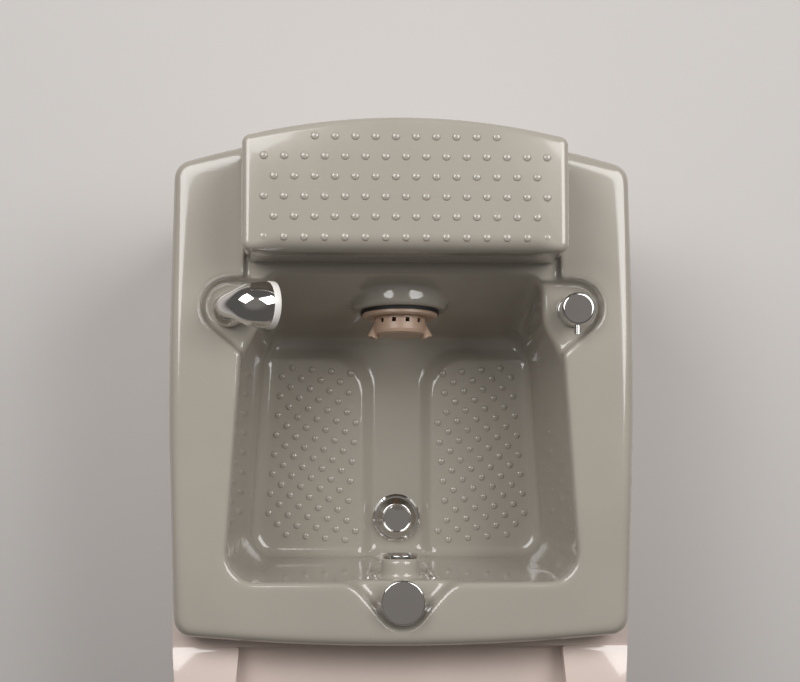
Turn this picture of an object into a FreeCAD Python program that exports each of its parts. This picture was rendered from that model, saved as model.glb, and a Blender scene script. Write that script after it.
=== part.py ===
import FreeCAD, Part
import math
import os
import Sketcher
from FreeCAD import Placement, Rotation, Vector

# Foot-bath module of a pedicure bench: a moulded tub with a raised footrest on a moulded base.
# +X is to the sitter's left, +Y points to the technician's side, +Z is up.  The origin lies on
# the floor, under the centre of the box that holds the module.

document = FreeCAD.newDocument("foot_bath")
sheet = document.addObject("Spreadsheet::Sheet", "Sizes")

# Driving dimensions in millimetres: name, value, meaning.
SIZES = [
    ("deck_height", 400.0, "top of the deck above the floor"),
    ("laminate", 6.0, "thickness of the tub moulding"),
    ("shell_wall", 5.0, "thickness of the base and footrest mouldings"),
    ("overrun", 2.0, "how far a cutting shape runs past the face it cuts"),
    ("running_fit", 0.05, "radial clearance of parts that slide or turn in a bore"),
    ("seat_gap", 0.3, "gap between curved or soft faces that rest on each other"),
    ("fitting_gap", 1.0, "gap round a fitting in its hole"),
    # tub rim
    ("rim_far_half", 303.5, "half width of the rim at its far corners"),
    ("rim_mid_half", 308.5, "half width of the rim where its sides turn"),
    ("rim_near_half", 296.5, "half width of the rim at its near corners"),
    ("rim_mid_setback", 345.0, "far crown to the turn of the sides"),
    ("tub_length", 680.0, "far crown to near crown of the rim"),
    ("seat_reach", 190.0, "near crown of the rim to the seat face"),
    ("far_bow_radius", 985.0, "radius of the far rim"),
    ("far_bow_half", 262.0, "half length of the far rim's arc"),
    ("near_bow_radius", 2900.0, "radius of the near rim"),
    ("near_bow_half", 250.0, "half length of the near rim's arc"),
    ("side_bow_half", 118.0, "half length of the sides' turn"),
    ("rim_corner", 26.0, "corner radius of the rim in plan"),
    ("rim_round", 15.0, "rounding of the deck's outer edge"),
    ("skirt_depth", 45.0, "deck to the skirt's lower edge"),
    ("well_round", 5.0, "rounding of the well's upper edge"),
    # well
    ("well_depth", 235.0, "deck to the foot beds"),
    ("bed_height", 15.0, "foot beds above the channel floor"),
    ("floor_round", 14.0, "rounding between the well's walls and floor"),
    ("well_near_half", 231.0, "half width of the well at its near corners, at the deck"),
    ("well_near_setback", 83.0, "near rim crown to the well's near wall, at the deck"),
    ("well_waist_half", 213.0, "half width of the well where the pods begin, at the deck"),
    ("well_waist_setback", 300.0, "far crown to the start of the pods, at the deck"),
    ("well_neck_half", 188.0, "half width of the well between the pods, at the deck"),
    ("well_neck_setback", 253.0, "far crown to the end of the waist's turn, at the deck"),
    ("well_far_half", 186.0, "half width of the well at the far wall, at the deck"),
    ("well_far_setback", 188.0, "far crown to the well's far wall, at the deck"),
    ("floor_near_half", 215.0, "half width at the near corners, at the beds"),
    ("floor_near_setback", 96.0, "near rim crown to the near wall, at the beds"),
    ("floor_waist_half", 197.0, "half width where the pods begin, at the beds"),
    ("floor_waist_setback", 295.0, "far crown to the start of the pods, at the beds"),
    ("floor_neck_half", 189.0, "half width between the pods, at the beds"),
    ("floor_neck_setback", 277.0, "far crown to the end of the waist's turn, at the beds"),
    ("floor_far_half", 182.0, "half width at the far wall, at the beds"),
    ("floor_far_setback", 255.0, "far crown to the far wall, at the beds"),
    ("well_near_corner", 38.0, "near corner radius of the well in plan"),
    ("well_waist_round", 45.0, "radius of the waist's two turns in plan"),
    ("well_far_corner", 20.0, "far corner radius of the well in plan"),
    ("channel_half", 35.3, "half width of the centre channel at its floor"),
    ("channel_slope", 16.0, "how much each channel wall leans out over the bed height"),
    ("trough_setback", 278.0, "far crown to the trough's near edge, at the channel floor"),
    ("bed_corner", 55.0, "radius of each bed's inner far corner"),
    ("groove_low_half", 32.0, "half width of the groove up the near wall, at the channel floor"),
    ("groove_high_half", 44.0, "half width of that groove at its top"),
    ("groove_depth", 6.0, "depth of that groove into the near wall"),
    ("groove_top_drop", 34.0, "deck to the top of that groove"),
    # ledge, pods and front recess
    ("ledge_drop", 12.0, "deck to the footrest ledge"),
    ("ledge_half", 209.0, "half width of the ledge"),
    ("ledge_start_setback", 210.0, "far crown to the near end of the ledge's side walls"),
    ("pod_drop", 20.0, "deck to the pod floors"),
    ("pod_far_setback", 202.0, "far crown to a pod's far wall"),
    ("pod_outer", 263.0, "centre line to a pod's outer wall"),
    ("pod_turn_setback", 252.0, "far crown to a pod's outer near corner"),
    ("pod_radius", 34.0, "corner radius of a pod in plan"),
    ("pod_flare", 4.0, "how much a pod's wall leans out over its depth"),
    ("pod_centre_x", 228.5, "centre line to the fittings on the pods"),
    ("pod_centre_setback", 240.5, "far crown to the fittings on the pods"),
    ("recess_drop", 19.0, "deck to the front recess floor"),
    ("recess_apex_from_near", 3.0, "near rim crown to the recess walls' meeting point"),
    ("recess_radius", 33.0, "tip radius of the front recess at the deck"),
    ("recess_half", 90.0, "half width of the recess where it runs into the well"),
    ("recess_reach", 106.0, "near rim crown to that place"),
    ("recess_flare", 9.0, "how much the recess wall leans out over its depth"),
    ("recess_shoulder", 55.0, "radius of the shoulders where the recess runs out into the well"),
    ("recess_step", 0.8, "how far those shoulders end inside the well"),
    # footrest
    ("footrest_half", 207.5, "half width of the footrest"),
    ("footrest_front_setback", 178.0, "far crown of the rim to the footrest's front face"),
    ("footrest_back_setback", 4.0, "far crown of the rim to the footrest's back crown"),
    ("footrest_rise", 95.0, "deck to the footrest's top"),
    ("footrest_bow_radius", 850.0, "radius of the footrest's back"),
    ("footrest_bow_half", 190.0, "half length of that arc"),
    ("footrest_corner", 13.0, "corner radius of the footrest in plan"),
    ("footrest_round", 9.0, "rounding of the footrest's upper edge"),
    ("footrest_draft", 1.5, "how much the footrest's sides lean in over its height"),
    ("footrest_lift", 75.0, "travel of the footrest"),
    ("post_radius", 12.0, "radius of a footrest post"),
    ("post_half_spacing", 130.0, "centre line to a post"),
    ("post_setback", 105.0, "far crown to the posts"),
    ("post_drop", 160.0, "deck to a post's lower end"),
    ("guide_wall", 3.0, "wall of a guide tube"),
    ("guide_drop", 150.0, "deck to a guide tube's lower end"),
    ("guide_flange", 28.0, "radius of a guide tube's flange"),
    # massage bumps
    ("bump_radius", 5.2, "radius of a massage bump's foot"),
    ("bump_rise", 2.2, "height of a massage bump"),
    ("rest_bump_pitch", 25.4, "spacing of the bumps on the footrest"),
    ("rest_bump_start", 27.7, "footrest's back crown to the first row of bumps"),
    ("rest_bump_edge", 17.5, "least distance from those bumps to the footrest's edge"),
    ("bed_bump_pitch", 28.9, "spacing of the bumps along a row on the foot beds"),
    ("bed_bump_turn", 5.2, "turn of the rows on the beds, in degrees"),
    ("bed_bump_edge", 12.0, "least distance from those bumps to the bed's edge"),
    # drain and overflow
    ("drain_setback", 151.5, "near rim crown to the drain's centre"),
    ("spigot_radius", 24.0, "outer radius of the drain spigot"),
    ("drain_flange_radius", 35.0, "radius of the drain flange"),
    ("drain_flange_rise", 3.0, "drain flange above the channel floor"),
    ("spigot_wall", 3.5, "wall of the drain spigot"),
    ("spigot_length", 30.0, "channel floor to the spigot's lower end"),
    ("washer", 3.0, "thickness of a rubber washer"),
    ("nut_height", 9.0, "height of a locknut"),
    ("nut_wall", 9.0, "wall of a locknut"),
    ("drain_body_wall", 4.0, "wall of the drain body"),
    ("drain_body_depth", 74.0, "channel floor to the drain body's bottom"),
    ("stopper_radius", 29.0, "radius of the drain stopper's cap"),
    ("stopper_rise", 8.0, "travel of the stopper"),
    ("stopper_thickness", 6.0, "thickness of the stopper's cap"),
    ("stopper_stem", 4.0, "radius of the stopper's stem"),
    ("seal_radius", 19.5, "radius of the seal under the stopper"),
    ("seal_height", 4.0, "height of that seal"),
    ("spider_bar", 3.0, "half width of the drain's cross bar"),
    ("waste_radius", 20.0, "outer radius of the waste pipes"),
    ("waste_wall", 3.0, "wall of the waste pipes"),
    ("waste_height", 100.0, "height of the waste pipe's axis"),
    ("socket_length", 16.0, "how far a pipe goes into a fitting"),
    ("bead_radius", 23.0, "radius of the bead that stops the waste coupling"),
    ("overflow_drop", 88.0, "deck to the overflow's centre"),
    ("overflow_radius", 23.5, "radius of the overflow plate"),
    ("overflow_plate", 4.0, "thickness of the overflow plate"),
    ("boss_radius", 27.0, "radius of the overflow boss"),
    ("boss_reach", 108.0, "near rim crown to the boss's face"),
    ("overflow_pipe", 15.0, "outer radius of the overflow pipe"),
    ("overflow_setback", 52.0, "near rim crown to the overflow pipe's axis"),
    # drain knob
    ("knob_setback", 59.0, "near rim crown to the drain knob's centre"),
    ("knob_radius", 28.5, "radius of the drain knob"),
    ("knob_top", 16.0, "top of the drain knob above the deck"),
    ("knob_rim", 14.0, "height of the knob's rim"),
    ("knob_neck", 20.0, "radius of the knob's neck"),
    ("knob_shaft", 5.0, "radius of the knob's shaft"),
    ("collar_radius", 24.0, "radius of the ring under a fitting"),
    ("collar_height", 5.0, "height of that ring"),
    ("housing_width", 40.0, "width of the knob's gear housing"),
    ("housing_front", 10.0, "knob's axis to the housing's face at the well"),
    ("housing_back", 24.0, "knob's axis to the housing's rear face"),
    ("housing_height", 34.0, "height of that housing"),
    ("pull_radius", 2.5, "radius of the drain cable"),
    ("cable_radius", 3.5, "radius of the leads"),
    # jet
    ("jet_drop", 115.0, "deck to the jet's centre"),
    ("jet_setback", 233.0, "far crown to the jet's seat"),
    ("jet_tilt", 4.0, "angle of the jet's axis above the horizontal, in degrees"),
    ("jet_boss_radius", 66.0, "radius of the boss that carries the jet"),
    ("jet_hole", 30.0, "radius of the hole in the wall"),
    ("jet_gasket_radius", 55.0, "radius of the jet's gasket"),
    ("jet_gasket_height", 4.0, "thickness of that gasket"),
    ("jet_flange_radius", 52.5, "radius of the jet's flange"),
    ("jet_flange_height", 6.0, "thickness of that flange"),
    ("jet_sleeve_wall", 3.5, "wall of the flange's sleeve"),
    ("jet_sleeve_length", 40.0, "length of that sleeve behind the wall"),
    ("jet_cover_radius", 36.5, "radius of the jet's cover"),
    ("jet_cover_height", 24.0, "height of that cover"),
    ("jet_cover_wall", 3.0, "wall of that cover"),
    ("jet_pull", 60.0, "how far the cover pulls off"),
    ("nozzle_root", 4.0, "outer radius of a nozzle at its root"),
    ("nozzle_radius", 8.0, "outer radius of a nozzle at its mouth"),
    ("nozzle_bore", 4.0, "radius of a nozzle's bore"),
    ("nozzle_rise", 6.3, "root of a nozzle above the flange"),
    ("nozzle_length", 22.0, "length of a nozzle"),
    ("nozzle_splay", 19.0, "angle between a nozzle and the jet's axis, in degrees"),
    ("nozzle_offset", 31.0, "jet's axis to the root of a nozzle"),
    ("impeller_radius", 23.0, "radius of the impeller"),
    ("impeller_height", 14.0, "height of the impeller's blades"),
    ("impeller_hub", 8.0, "radius of the impeller's hub"),
    ("blade_half", 1.2, "half thickness of a blade"),
    ("jet_shaft", 3.0, "radius of the jet's shaft"),
    ("motor_radius", 42.0, "radius of the jet's motor"),
    ("motor_length", 88.0, "length of the jet's motor"),
    ("clamp_height", 12.0, "height of the motor's clamp ring"),
    # mixer
    ("mixer_column", 19.0, "radius of the mixer's column"),
    ("mixer_column_height", 15.0, "top of the column above the pod's floor"),
    ("mixer_collar_radius", 21.0, "radius of the ring under the column"),
    ("mixer_bore", 14.0, "radius of the mixer's shank"),
    ("mixer_shank_wall", 4.0, "wall of that shank"),
    ("mixer_body_radius", 24.0, "radius of the mixer's valve body"),
    ("mixer_body_height", 44.0, "height of that body"),
    ("turret_rise", 3.0, "height of the turret above the column"),
    ("tilt_rise", 5.0, "height of the handle's tilting axis above the deck"),
    ("ball_radius", 6.0, "radius of the turret's ball"),
    ("ball_neck", 4.0, "radius of the ball's neck"),
    ("handle_radius", 21.5, "radius of the mixer's handle"),
    ("handle_low", 3.0, "underside of the handle above the deck"),
    ("handle_top", 25.0, "top of the handle above the deck"),
    ("handle_wall", 4.5, "wall of the handle"),
    ("handle_cap", 8.0, "thickness of the handle's top"),
    ("pin_radius", 4.3, "radius of the handle's pin"),
    ("pin_reach", 12.0, "how far the pin stands out of the handle"),
    ("pin_drop", 11.0, "top of the handle to the pin's axis"),
    # hand sprayer
    ("socket_radius", 23.5, "radius of the sprayer's socket"),
    ("socket_rise", 8.0, "top of the socket above the deck"),
    ("socket_shank", 15.0, "outer radius of the socket's shank"),
    ("sprayer_tail", 12.0, "radius of the sprayer's tail"),
    ("sprayer_tail_length", 50.0, "length of that tail in the socket"),
    ("sprayer_neck", 14.5, "radius of the sprayer's neck"),
    ("sprayer_mouth", 29.5, "radius of the sprayer's body at its mouth"),
    ("sprayer_rim", 31.0, "radius of the sprayer's face ring"),
    ("sprayer_rim_length", 9.0, "length of that ring"),
    ("sprayer_bend", 30.0, "radius of the sprayer's bend"),
    ("sprayer_neck_height", 15.0, "straight length of the neck above the socket"),
    ("sprayer_reach", 20.5, "length of the sprayer after its bend"),
    ("sprayer_down", 24.0, "angle of the mouth below the horizontal, in degrees"),
    ("face_radius", 26.0, "radius of the sprayer's face"),
    ("face_height", 3.0, "thickness of the sprayer's face"),
    ("sprayer_yaw", 0.0, "turn of the sprayer from straight across, in degrees"),
    ("hose_radius", 6.5, "radius of the sprayer's hose"),
    ("hose_drop", 219.0, "deck to the lower end of the hose's straight run"),
    ("supply_radius", 6.5, "radius of the water hoses"),
    # base
    ("foot_clearance", 15.0, "floor to the base shell's lower edge"),
    ("shoulder_gap", 5.0, "gap between the skirt and the base's shoulder"),
    ("base_inset", 5.0, "base side inside the rim at the far end"),
    ("base_waist_half", 303.0, "half width of the base where the wings begin"),
    ("base_taper", 19.0, "how much each side of the base comes in towards the seat face"),
    ("base_waist_round", 300.0, "radius of the base's turn where the wings begin"),
    ("base_corner", 24.0, "corner radius of the base in plan"),
    ("base_rear_corner", 8.0, "corner radius of the base at the seat face"),
    ("collar_gap", 2.0, "gap between the skirt and the base's collar"),
    ("collar_lip", 32.0, "width of the collar's lip"),
    ("gasket_height", 6.0, "thickness of the rim gasket"),
    ("gasket_width", 16.0, "width of the rim gasket"),
    ("wing_gap", 6.0, "gap between the near rim and the wings"),
    ("wing_start_width", 88.0, "width of a wing at the rim"),
    ("wing_end_width", 56.0, "width of a wing at the seat face"),
    ("wing_drop", 34.0, "deck to the wings' highest line"),
    ("wing_arch", 14.0, "how much the wings' top falls from its middle to its ends"),
    ("panel_drop", 72.0, "deck to the centre panel between the wings"),
    ("toe_height", 90.0, "height of the toe space at the technician's side"),
    ("toe_depth", 62.0, "depth of the toe space"),
    ("seat_bolt_radius", 5.5, "radius of a seat bolt's hole"),
    ("seat_bolt_half", 200.0, "centre line to a seat bolt"),
    ("seat_bolt_low", 110.0, "floor to the lower seat bolts"),
    ("seat_bolt_rise", 160.0, "lower to upper seat bolts"),
    ("rear_window_half", 150.0, "half width of the window for the connections"),
    ("rear_window_low", 62.0, "floor to that window"),
    ("rear_window_height", 96.0, "height of that window"),
    # frame
    ("tube", 30.0, "side of the frame's square tube"),
    ("rail_low", 25.0, "floor to the rails' underside"),
    ("rail_gap", 2.0, "gap between a side rail and the base's wall"),
    ("rail_rear_gap", 24.0, "seat face to the rails' rear end"),
    ("rail_front_setback", 100.0, "far crown to the rails' front end"),
    ("near_post_setback", 30.0, "near rim crown to the near uprights' near face"),
    ("cross_mid_setback", 30.0, "near rim crown to the middle cross rail"),
    ("foot_stud", 6.0, "radius of a levelling foot's stud"),
    ("foot_radius", 24.0, "radius of a levelling foot"),
    ("foot_plate", 5.0, "thickness of a levelling foot's plate"),
    ("foot_pad", 4.0, "thickness of a foot's rubber pad"),
    ("foot_inset", 45.0, "rail end to a foot's centre"),
    # service panel
    ("service_half", 150.0, "half width of the service panel"),
    ("service_low", 130.0, "floor to the service panel"),
    ("service_height", 170.0, "height of the service panel"),
    ("service_thick", 3.0, "thickness of the service panel"),
    ("service_overlap", 18.0, "how far the panel laps its opening"),
    ("screw_radius", 2.5, "radius of a panel screw"),
    ("screw_head", 5.0, "radius of a panel screw's head"),
    ("screw_head_height", 3.0, "height of that head"),
    ("screw_inset", 9.0, "panel edge to a screw"),
    # connections
    ("plate_thick", 3.0, "thickness of the connection plate"),
    ("plate_half", 165.0, "half width of the connection plate"),
    ("plate_height", 108.0, "height of the connection plate"),
    ("inlet_radius", 10.45, "outer radius of an inlet's half-inch thread"),
    ("inlet_length", 20.0, "length of that thread"),
    ("inlet_hex", 16.0, "radius across the corners of an inlet's hexagon"),
    ("inlet_hex_height", 8.0, "height of that hexagon"),
    ("inlet_height", 120.0, "height of the inlets"),
    ("hot_inlet_x", 62.0, "centre line to the hot inlet"),
    ("cold_inlet_x", 118.0, "centre line to the cold inlet"),
    ("gland_x", 90.0, "centre line to the cable gland, on the other side"),
    ("gland_radius", 9.0, "radius of the cable gland's thread"),
    ("gland_bore", 4.5, "radius of the gland's bore"),
    ("box_width", 44.0, "width of the control box"),
    ("box_length", 160.0, "length of the control box"),
    ("box_height", 95.0, "height of the control box"),
    ("box_setback", 395.0, "far crown to the control box's near end"),
]
for row, (alias, value, meaning) in enumerate(SIZES, start=1):
    sheet.set(f"A{row}", meaning)
    sheet.set(f"B{row}", str(value))
    sheet.setAlias(f"B{row}", alias)
document.recompute()


class Length:
    """A named size or a sum of them: its value and the spreadsheet formula that gives it."""

    def __init__(self, value, formula):
        self.value = float(value)
        self.formula = formula

    def joined(self, other, sign, result):
        return Length(result, f"({self.formula} {sign} {as_length(other).formula})")

    def __add__(self, other):
        return self.joined(other, "+", self.value + float(other))

    def __sub__(self, other):
        return self.joined(other, "-", self.value - float(other))

    def __mul__(self, other):
        return self.joined(other, "*", self.value * float(other))

    def __truediv__(self, other):
        return self.joined(other, "/", self.value / float(other))

    def __neg__(self):
        return Length(-self.value, f"(-1 * {self.formula})")

    def __float__(self):
        return self.value


def as_length(number):
    return number if isinstance(number, Length) else Length(number, str(number))


class Cells:
    """Named sizes as attributes: bound ones for expressions, plain ones for geometry in code."""

    def __init__(self, bound):
        for alias, _, _ in SIZES:
            value = float(sheet.get(alias))
            setattr(self, alias, Length(value, f"Sizes.{alias}") if bound else value)


cell = Cells(bound=True)
mm = Cells(bound=False)
ZERO = Length(0.0, "0")
UP = Vector(0, 0, 1)

# Places that many pieces share.
whole_length = mm.tub_length + mm.seat_reach
far_y = whole_length / 2
rear_y = -far_y
near_y = far_y - mm.tub_length
bed_z = mm.deck_height - mm.well_depth
channel_z = bed_z - mm.bed_height
ledge_z = mm.deck_height - mm.ledge_drop
pod_z = mm.deck_height - mm.pod_drop
recess_z = mm.deck_height - mm.recess_drop
skirt_z = mm.deck_height - mm.skirt_depth
shoulder_z = skirt_z - mm.shoulder_gap
core_z = ledge_z - mm.laminate
collar_z = core_z - mm.gasket_height
bound_far = (cell.tub_length + cell.seat_reach) / 2
bound_near = bound_far - cell.tub_length
bound_channel = cell.deck_height - cell.well_depth - cell.bed_height
bound_pod = cell.deck_height - cell.pod_drop
bound_recess = cell.deck_height - cell.recess_drop

nodes = {}


def keep(item, label):
    """Enter a finished piece under its name."""
    item.Label = label
    nodes[label] = item
    return item


def code_piece(label, shape, place=None):
    """A piece whose shape comes from geometry in code."""
    item = document.addObject("Part::Feature", label)
    item.Shape = shape
    if place is not None:
        item.Placement = place
    return keep(item, label)


def set_base(item, at):
    """Bind a piece's position to named sizes."""
    for axis, length in zip("xyz", at):
        item.setExpression(f"Placement.Base.{axis}", as_length(length).formula)


# Bodies of revolution.

def pin_corner(sketch, line, axis, length):
    """Hold the start of a line at a named distance from the sketch's origin."""
    if length.value == 0:
        other_axis = -2 if axis == "X" else -1
        sketch.addConstraint(Sketcher.Constraint("PointOnObject", line, 1, other_axis))
        return
    number = sketch.addConstraint(
        Sketcher.Constraint(f"Distance{axis}", -1, 1, line, 1, length.value))
    sketch.setExpression(f"Constraints[{number}]", length.formula)


def turned_body(name, profile, rounds=()):
    """Body turned about its Z axis from (radius, height) corners; rounds lists edges to fillet."""
    body = document.addObject("PartDesign::Body", name)
    sketch = body.newObject("Sketcher::SketchObject", f"{name}_profile")
    plane = next(item for item in body.Origin.OriginFeatures if item.Role == "XZ_Plane")
    sketch.AttachmentSupport = [(plane, "")]
    sketch.MapMode = "FlatFace"
    corners = [(as_length(across), as_length(up)) for across, up in profile]
    followers = corners[1:] + corners[:1]
    for start, end in zip(corners, followers):
        line = Part.LineSegment(Vector(start[0].value, start[1].value, 0),
                                Vector(end[0].value, end[1].value, 0))
        sketch.addGeometry(line, False)
    for line in range(len(corners)):
        following = (line + 1) % len(corners)
        sketch.addConstraint(Sketcher.Constraint("Coincident", line, 2, following, 1))
    for line, (across, up) in enumerate(corners):
        pin_corner(sketch, line, "X", across)
        pin_corner(sketch, line, "Y", up)
    turn = body.newObject("PartDesign::Revolution", f"{name}_turn")
    turn.Profile = sketch
    turn.ReferenceAxis = (sketch, ["V_Axis"])
    turn.Angle = 360
    document.recompute()
    base = turn
    for number, (across, up, radius) in enumerate(rounds):
        names = ring_edges(base.Shape, float(across), float(up))
        fillet = body.newObject("PartDesign::Fillet", f"{name}_round_{number}")
        fillet.Base = (base, names)
        fillet.Radius = float(radius)
        fillet.setExpression("Radius", as_length(radius).formula)
        document.recompute()
        base = fillet
    return body


def ring_edges(shape, radius, height):
    """Names of the circular edges at one radius and height."""
    near = 1e-4
    names = []
    for number, edge in enumerate(shape.Edges, start=1):
        box = edge.BoundBox
        if box.ZLength < near and abs(box.ZMin - height) < near and abs(box.XMax - radius) < near:
            names.append(f"Edge{number}")
    return names


def turned(label, profile, at=None, place=None, rounds=()):
    """A turned piece, standing at named sizes or at a place worked out in code."""
    body = turned_body(label, profile, rounds)
    if place is not None:
        body.Placement = place
    else:
        set_base(body, at)
    return keep(body, label)


def ring_profile(inner, outer, low, high):
    return [(inner, low), (outer, low), (outer, high), (inner, high)]


def block(name, sides, corner):
    """Part box from bound sides and a bound low corner."""
    item = document.addObject("Part::Box", name)
    for side, length in zip(("Length", "Width", "Height"), sides):
        item.setExpression(side, as_length(length).formula)
    set_base(item, corner)
    return item


def round_bar(name, radius, length, at, direction=UP):
    """Part cylinder along a direction, from a bound start."""
    item = document.addObject("Part::Cylinder", name)
    item.setExpression("Radius", as_length(radius).formula)
    item.setExpression("Height", as_length(length).formula)
    item.Placement = Placement(Vector(), Rotation(UP, direction))
    set_base(item, at)
    return item


def joined(name, parts):
    item = document.addObject("Part::MultiFuse", name)
    item.Shapes = parts
    return item


def cut(name, base, tool):
    item = document.addObject("Part::Cut", name)
    item.Base = base
    item.Tool = tool
    return item


# Outlines in plan: lists of (x, y, corner radius), anticlockwise, closed.

def mirrored(right_side):
    """Right-hand corners, near to far, with their mirror images."""
    return right_side + [(-x, y, radius) for x, y, radius in reversed(right_side)]


def grown(outline, distance):
    """The outline moved outwards by a distance, its corner radii kept concentric."""
    if distance == 0:
        return list(outline)
    count = len(outline)
    moved = []
    for index in range(count):
        before = Vector(*outline[index - 1][:2], 0)
        here = Vector(*outline[index][:2], 0)
        after = Vector(*outline[(index + 1) % count][:2], 0)
        first = (here - before).normalize()
        second = (after - here).normalize()
        turn = first.x * second.y - first.y * second.x
        normal = Vector(first.y + second.y, -first.x - second.x, 0)
        shift = distance / (1 + first.dot(second))
        corner = here + normal * shift
        radius = outline[index][2] + (distance if turn > 0 else -distance)
        moved.append((corner.x, corner.y, max(radius, mm.overrun / 2)))
    return moved


def outline_wire(outline, height):
    """Closed wire of lines and tangent arcs at a height."""
    count = len(outline)
    stops = []
    for index, (x, y, radius) in enumerate(outline):
        here = Vector(x, y, height)
        before = Vector(*outline[index - 1][:2], height)
        after = Vector(*outline[(index + 1) % count][:2], height)
        first = (here - before).normalize()
        second = (after - here).normalize()
        half_turn = first.getAngle(second) / 2
        reach = radius * math.tan(half_turn)
        inward = (second - first).normalize()
        middle = here + inward * (radius / math.cos(half_turn) - radius)
        stops.append((here - first * reach, middle, here + second * reach))
    edges = []
    for index, (start, middle, end) in enumerate(stops):
        edges.append(Part.LineSegment(stops[index - 1][2], start).toShape())
        edges.append(Part.Arc(start, middle, end).toShape())
    return Part.Wire(edges)


def prism(outline, low, high):
    """Straight-sided solid over an outline."""
    face = Part.Face(outline_wire(outline, low))
    return face.extrude(Vector(0, 0, high - low))


def frustum(low_outline, low, high_outline, high):
    """Solid between two outlines of the same build at two heights."""
    wires = [outline_wire(low_outline, low), outline_wire(high_outline, high)]
    return Part.makeLoft(wires, True, True)


def box_between(low, high):
    return Part.makeBox(high[0] - low[0], high[1] - low[1], high[2] - low[2], Vector(*low))


def level_edges(shape, height):
    """Edges that lie flat at one height."""
    near = 1e-3
    return [edge for edge in shape.Edges
            if edge.BoundBox.ZLength < near and abs(edge.BoundBox.ZMin - height) < near]


def rounded_at(shape, height, radius):
    return shape.makeFillet(radius, level_edges(shape, height))


def crown_corner(crown, radius, half, side):
    """Corner point and the two places where its bow meets the sides at a half width."""
    lean = math.asin(half / radius)
    tip = crown + side * (radius / math.cos(lean) - radius)
    return tip, lambda x: tip - side * x * math.tan(lean)


def rim_outline():
    """Outline of the rim: bowed far and near edges, sides that turn once."""
    far_tip, far_at = crown_corner(far_y, mm.far_bow_radius, mm.far_bow_half, 1)
    near_tip, near_at = crown_corner(near_y, mm.near_bow_radius, mm.near_bow_half, -1)
    near_corner = Vector(mm.rim_near_half, near_at(mm.rim_near_half), 0)
    side_turn = Vector(mm.rim_mid_half, far_y - mm.rim_mid_setback, 0)
    far_corner = Vector(mm.rim_far_half, far_at(mm.rim_far_half), 0)
    half_turn = (side_turn - near_corner).getAngle(far_corner - side_turn) / 2
    right = [
        (near_corner.x, near_corner.y, mm.rim_corner),
        (side_turn.x, side_turn.y, mm.side_bow_half / math.tan(half_turn)),
        (far_corner.x, far_corner.y, mm.rim_corner),
    ]
    far = [(0, far_tip, mm.far_bow_radius)]
    left = [(-x, y, radius) for x, y, radius in reversed(right)]
    near = [(0, near_tip, mm.near_bow_radius)]
    return right + far + left + near


def well_outline(height):
    """Outline of the well at a height: the walls run straight from the beds to the deck."""
    share = (height - bed_z) / mm.well_depth

    def between(low, high):
        return low + (high - low) * share

    near_wall = near_y + between(mm.floor_near_setback, mm.well_near_setback)
    waist_y = far_y - between(mm.floor_waist_setback, mm.well_waist_setback)
    neck_y = far_y - between(mm.floor_neck_setback, mm.well_neck_setback)
    far_wall = far_y - between(mm.floor_far_setback, mm.well_far_setback)
    return mirrored([
        (between(mm.floor_near_half, mm.well_near_half), near_wall, mm.well_near_corner),
        (between(mm.floor_waist_half, mm.well_waist_half), waist_y, mm.well_waist_round),
        (between(mm.floor_neck_half, mm.well_neck_half), neck_y, mm.well_waist_round),
        (between(mm.floor_far_half, mm.well_far_half), far_wall, mm.well_far_corner),
    ])


def near_wall_y(height):
    return well_outline(height)[0][1]


def far_wall_y(height):
    return well_outline(height)[3][1]


# Hollows of the tub.  Each takes a growth: nothing for the gelcoat face, the laminate's
# thickness for the rough side under it.

top_z = mm.deck_height + mm.overrun


def turns(*degrees):
    return [math.radians(value) for value in degrees]


def stepped(sections):
    """Solid through outlines of the same build at rising heights."""
    wires = [outline_wire(outline, height) for outline, height in sections]
    return Part.makeLoft(wires, True, True)


def well_hollow(floor, growth):
    low = floor - growth
    radius = mm.floor_round + growth
    sections = []
    for lean in turns(0, 30, 60, 90):
        height = low + radius * (1 - math.cos(lean))
        inset = radius * (1 - math.sin(lean))
        sections.append((grown(well_outline(height), growth - inset), height))
    flare = growth
    if growth == 0:
        flare = mm.well_round
        for lean in turns(0, 45, 90):
            height = mm.deck_height - flare * (1 - math.sin(lean))
            outward = flare * (1 - math.cos(lean))
            sections.append((grown(well_outline(height), outward), height))
    sections.append((grown(well_outline(top_z), flare), top_z))
    return stepped(sections)


def trough_region():
    """Centre channel and far trough, between the two foot beds."""
    slope = mm.channel_slope / mm.bed_height
    past = mm.pod_outer

    def region(height):
        shift = (height - channel_z) * slope
        edge = far_y - mm.trough_setback - shift
        half = mm.channel_half + shift
        return mirrored([
            (half, near_y + mm.skirt_depth, mm.overrun),
            (half, edge, mm.bed_corner),
            (past, edge, mm.overrun),
            (past, far_y, mm.overrun),
        ])

    low = channel_z - mm.bed_height
    high = bed_z + mm.floor_round - mm.overrun / 2
    return frustum(region(low), low, region(high), high)


def pod_hollow(side, growth):
    neck = mm.well_neck_half - mm.pod_drop / 2
    start_y = far_y - mm.well_waist_setback
    outline = [
        (side * neck, far_y - mm.pod_far_setback, mm.overrun),
        (side * mm.pod_outer, far_y - mm.pod_far_setback, mm.pod_radius),
        (side * mm.pod_outer, far_y - mm.pod_turn_setback, mm.pod_radius),
        (side * (mm.well_waist_half - mm.laminate), start_y, mm.overrun),
        (side * neck, start_y + mm.pod_drop, mm.overrun),
    ]
    if side > 0:
        outline.reverse()
    low = pod_z - growth
    return frustum(grown(outline, growth), low, grown(outline, growth + mm.pod_flare), top_z)


def ledge_hollow(growth):
    low = (-mm.ledge_half - growth, far_y - mm.ledge_start_setback - growth, ledge_z - growth)
    high = (mm.ledge_half + growth, far_y + mm.overrun, top_z)
    return box_between(low, high)


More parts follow.
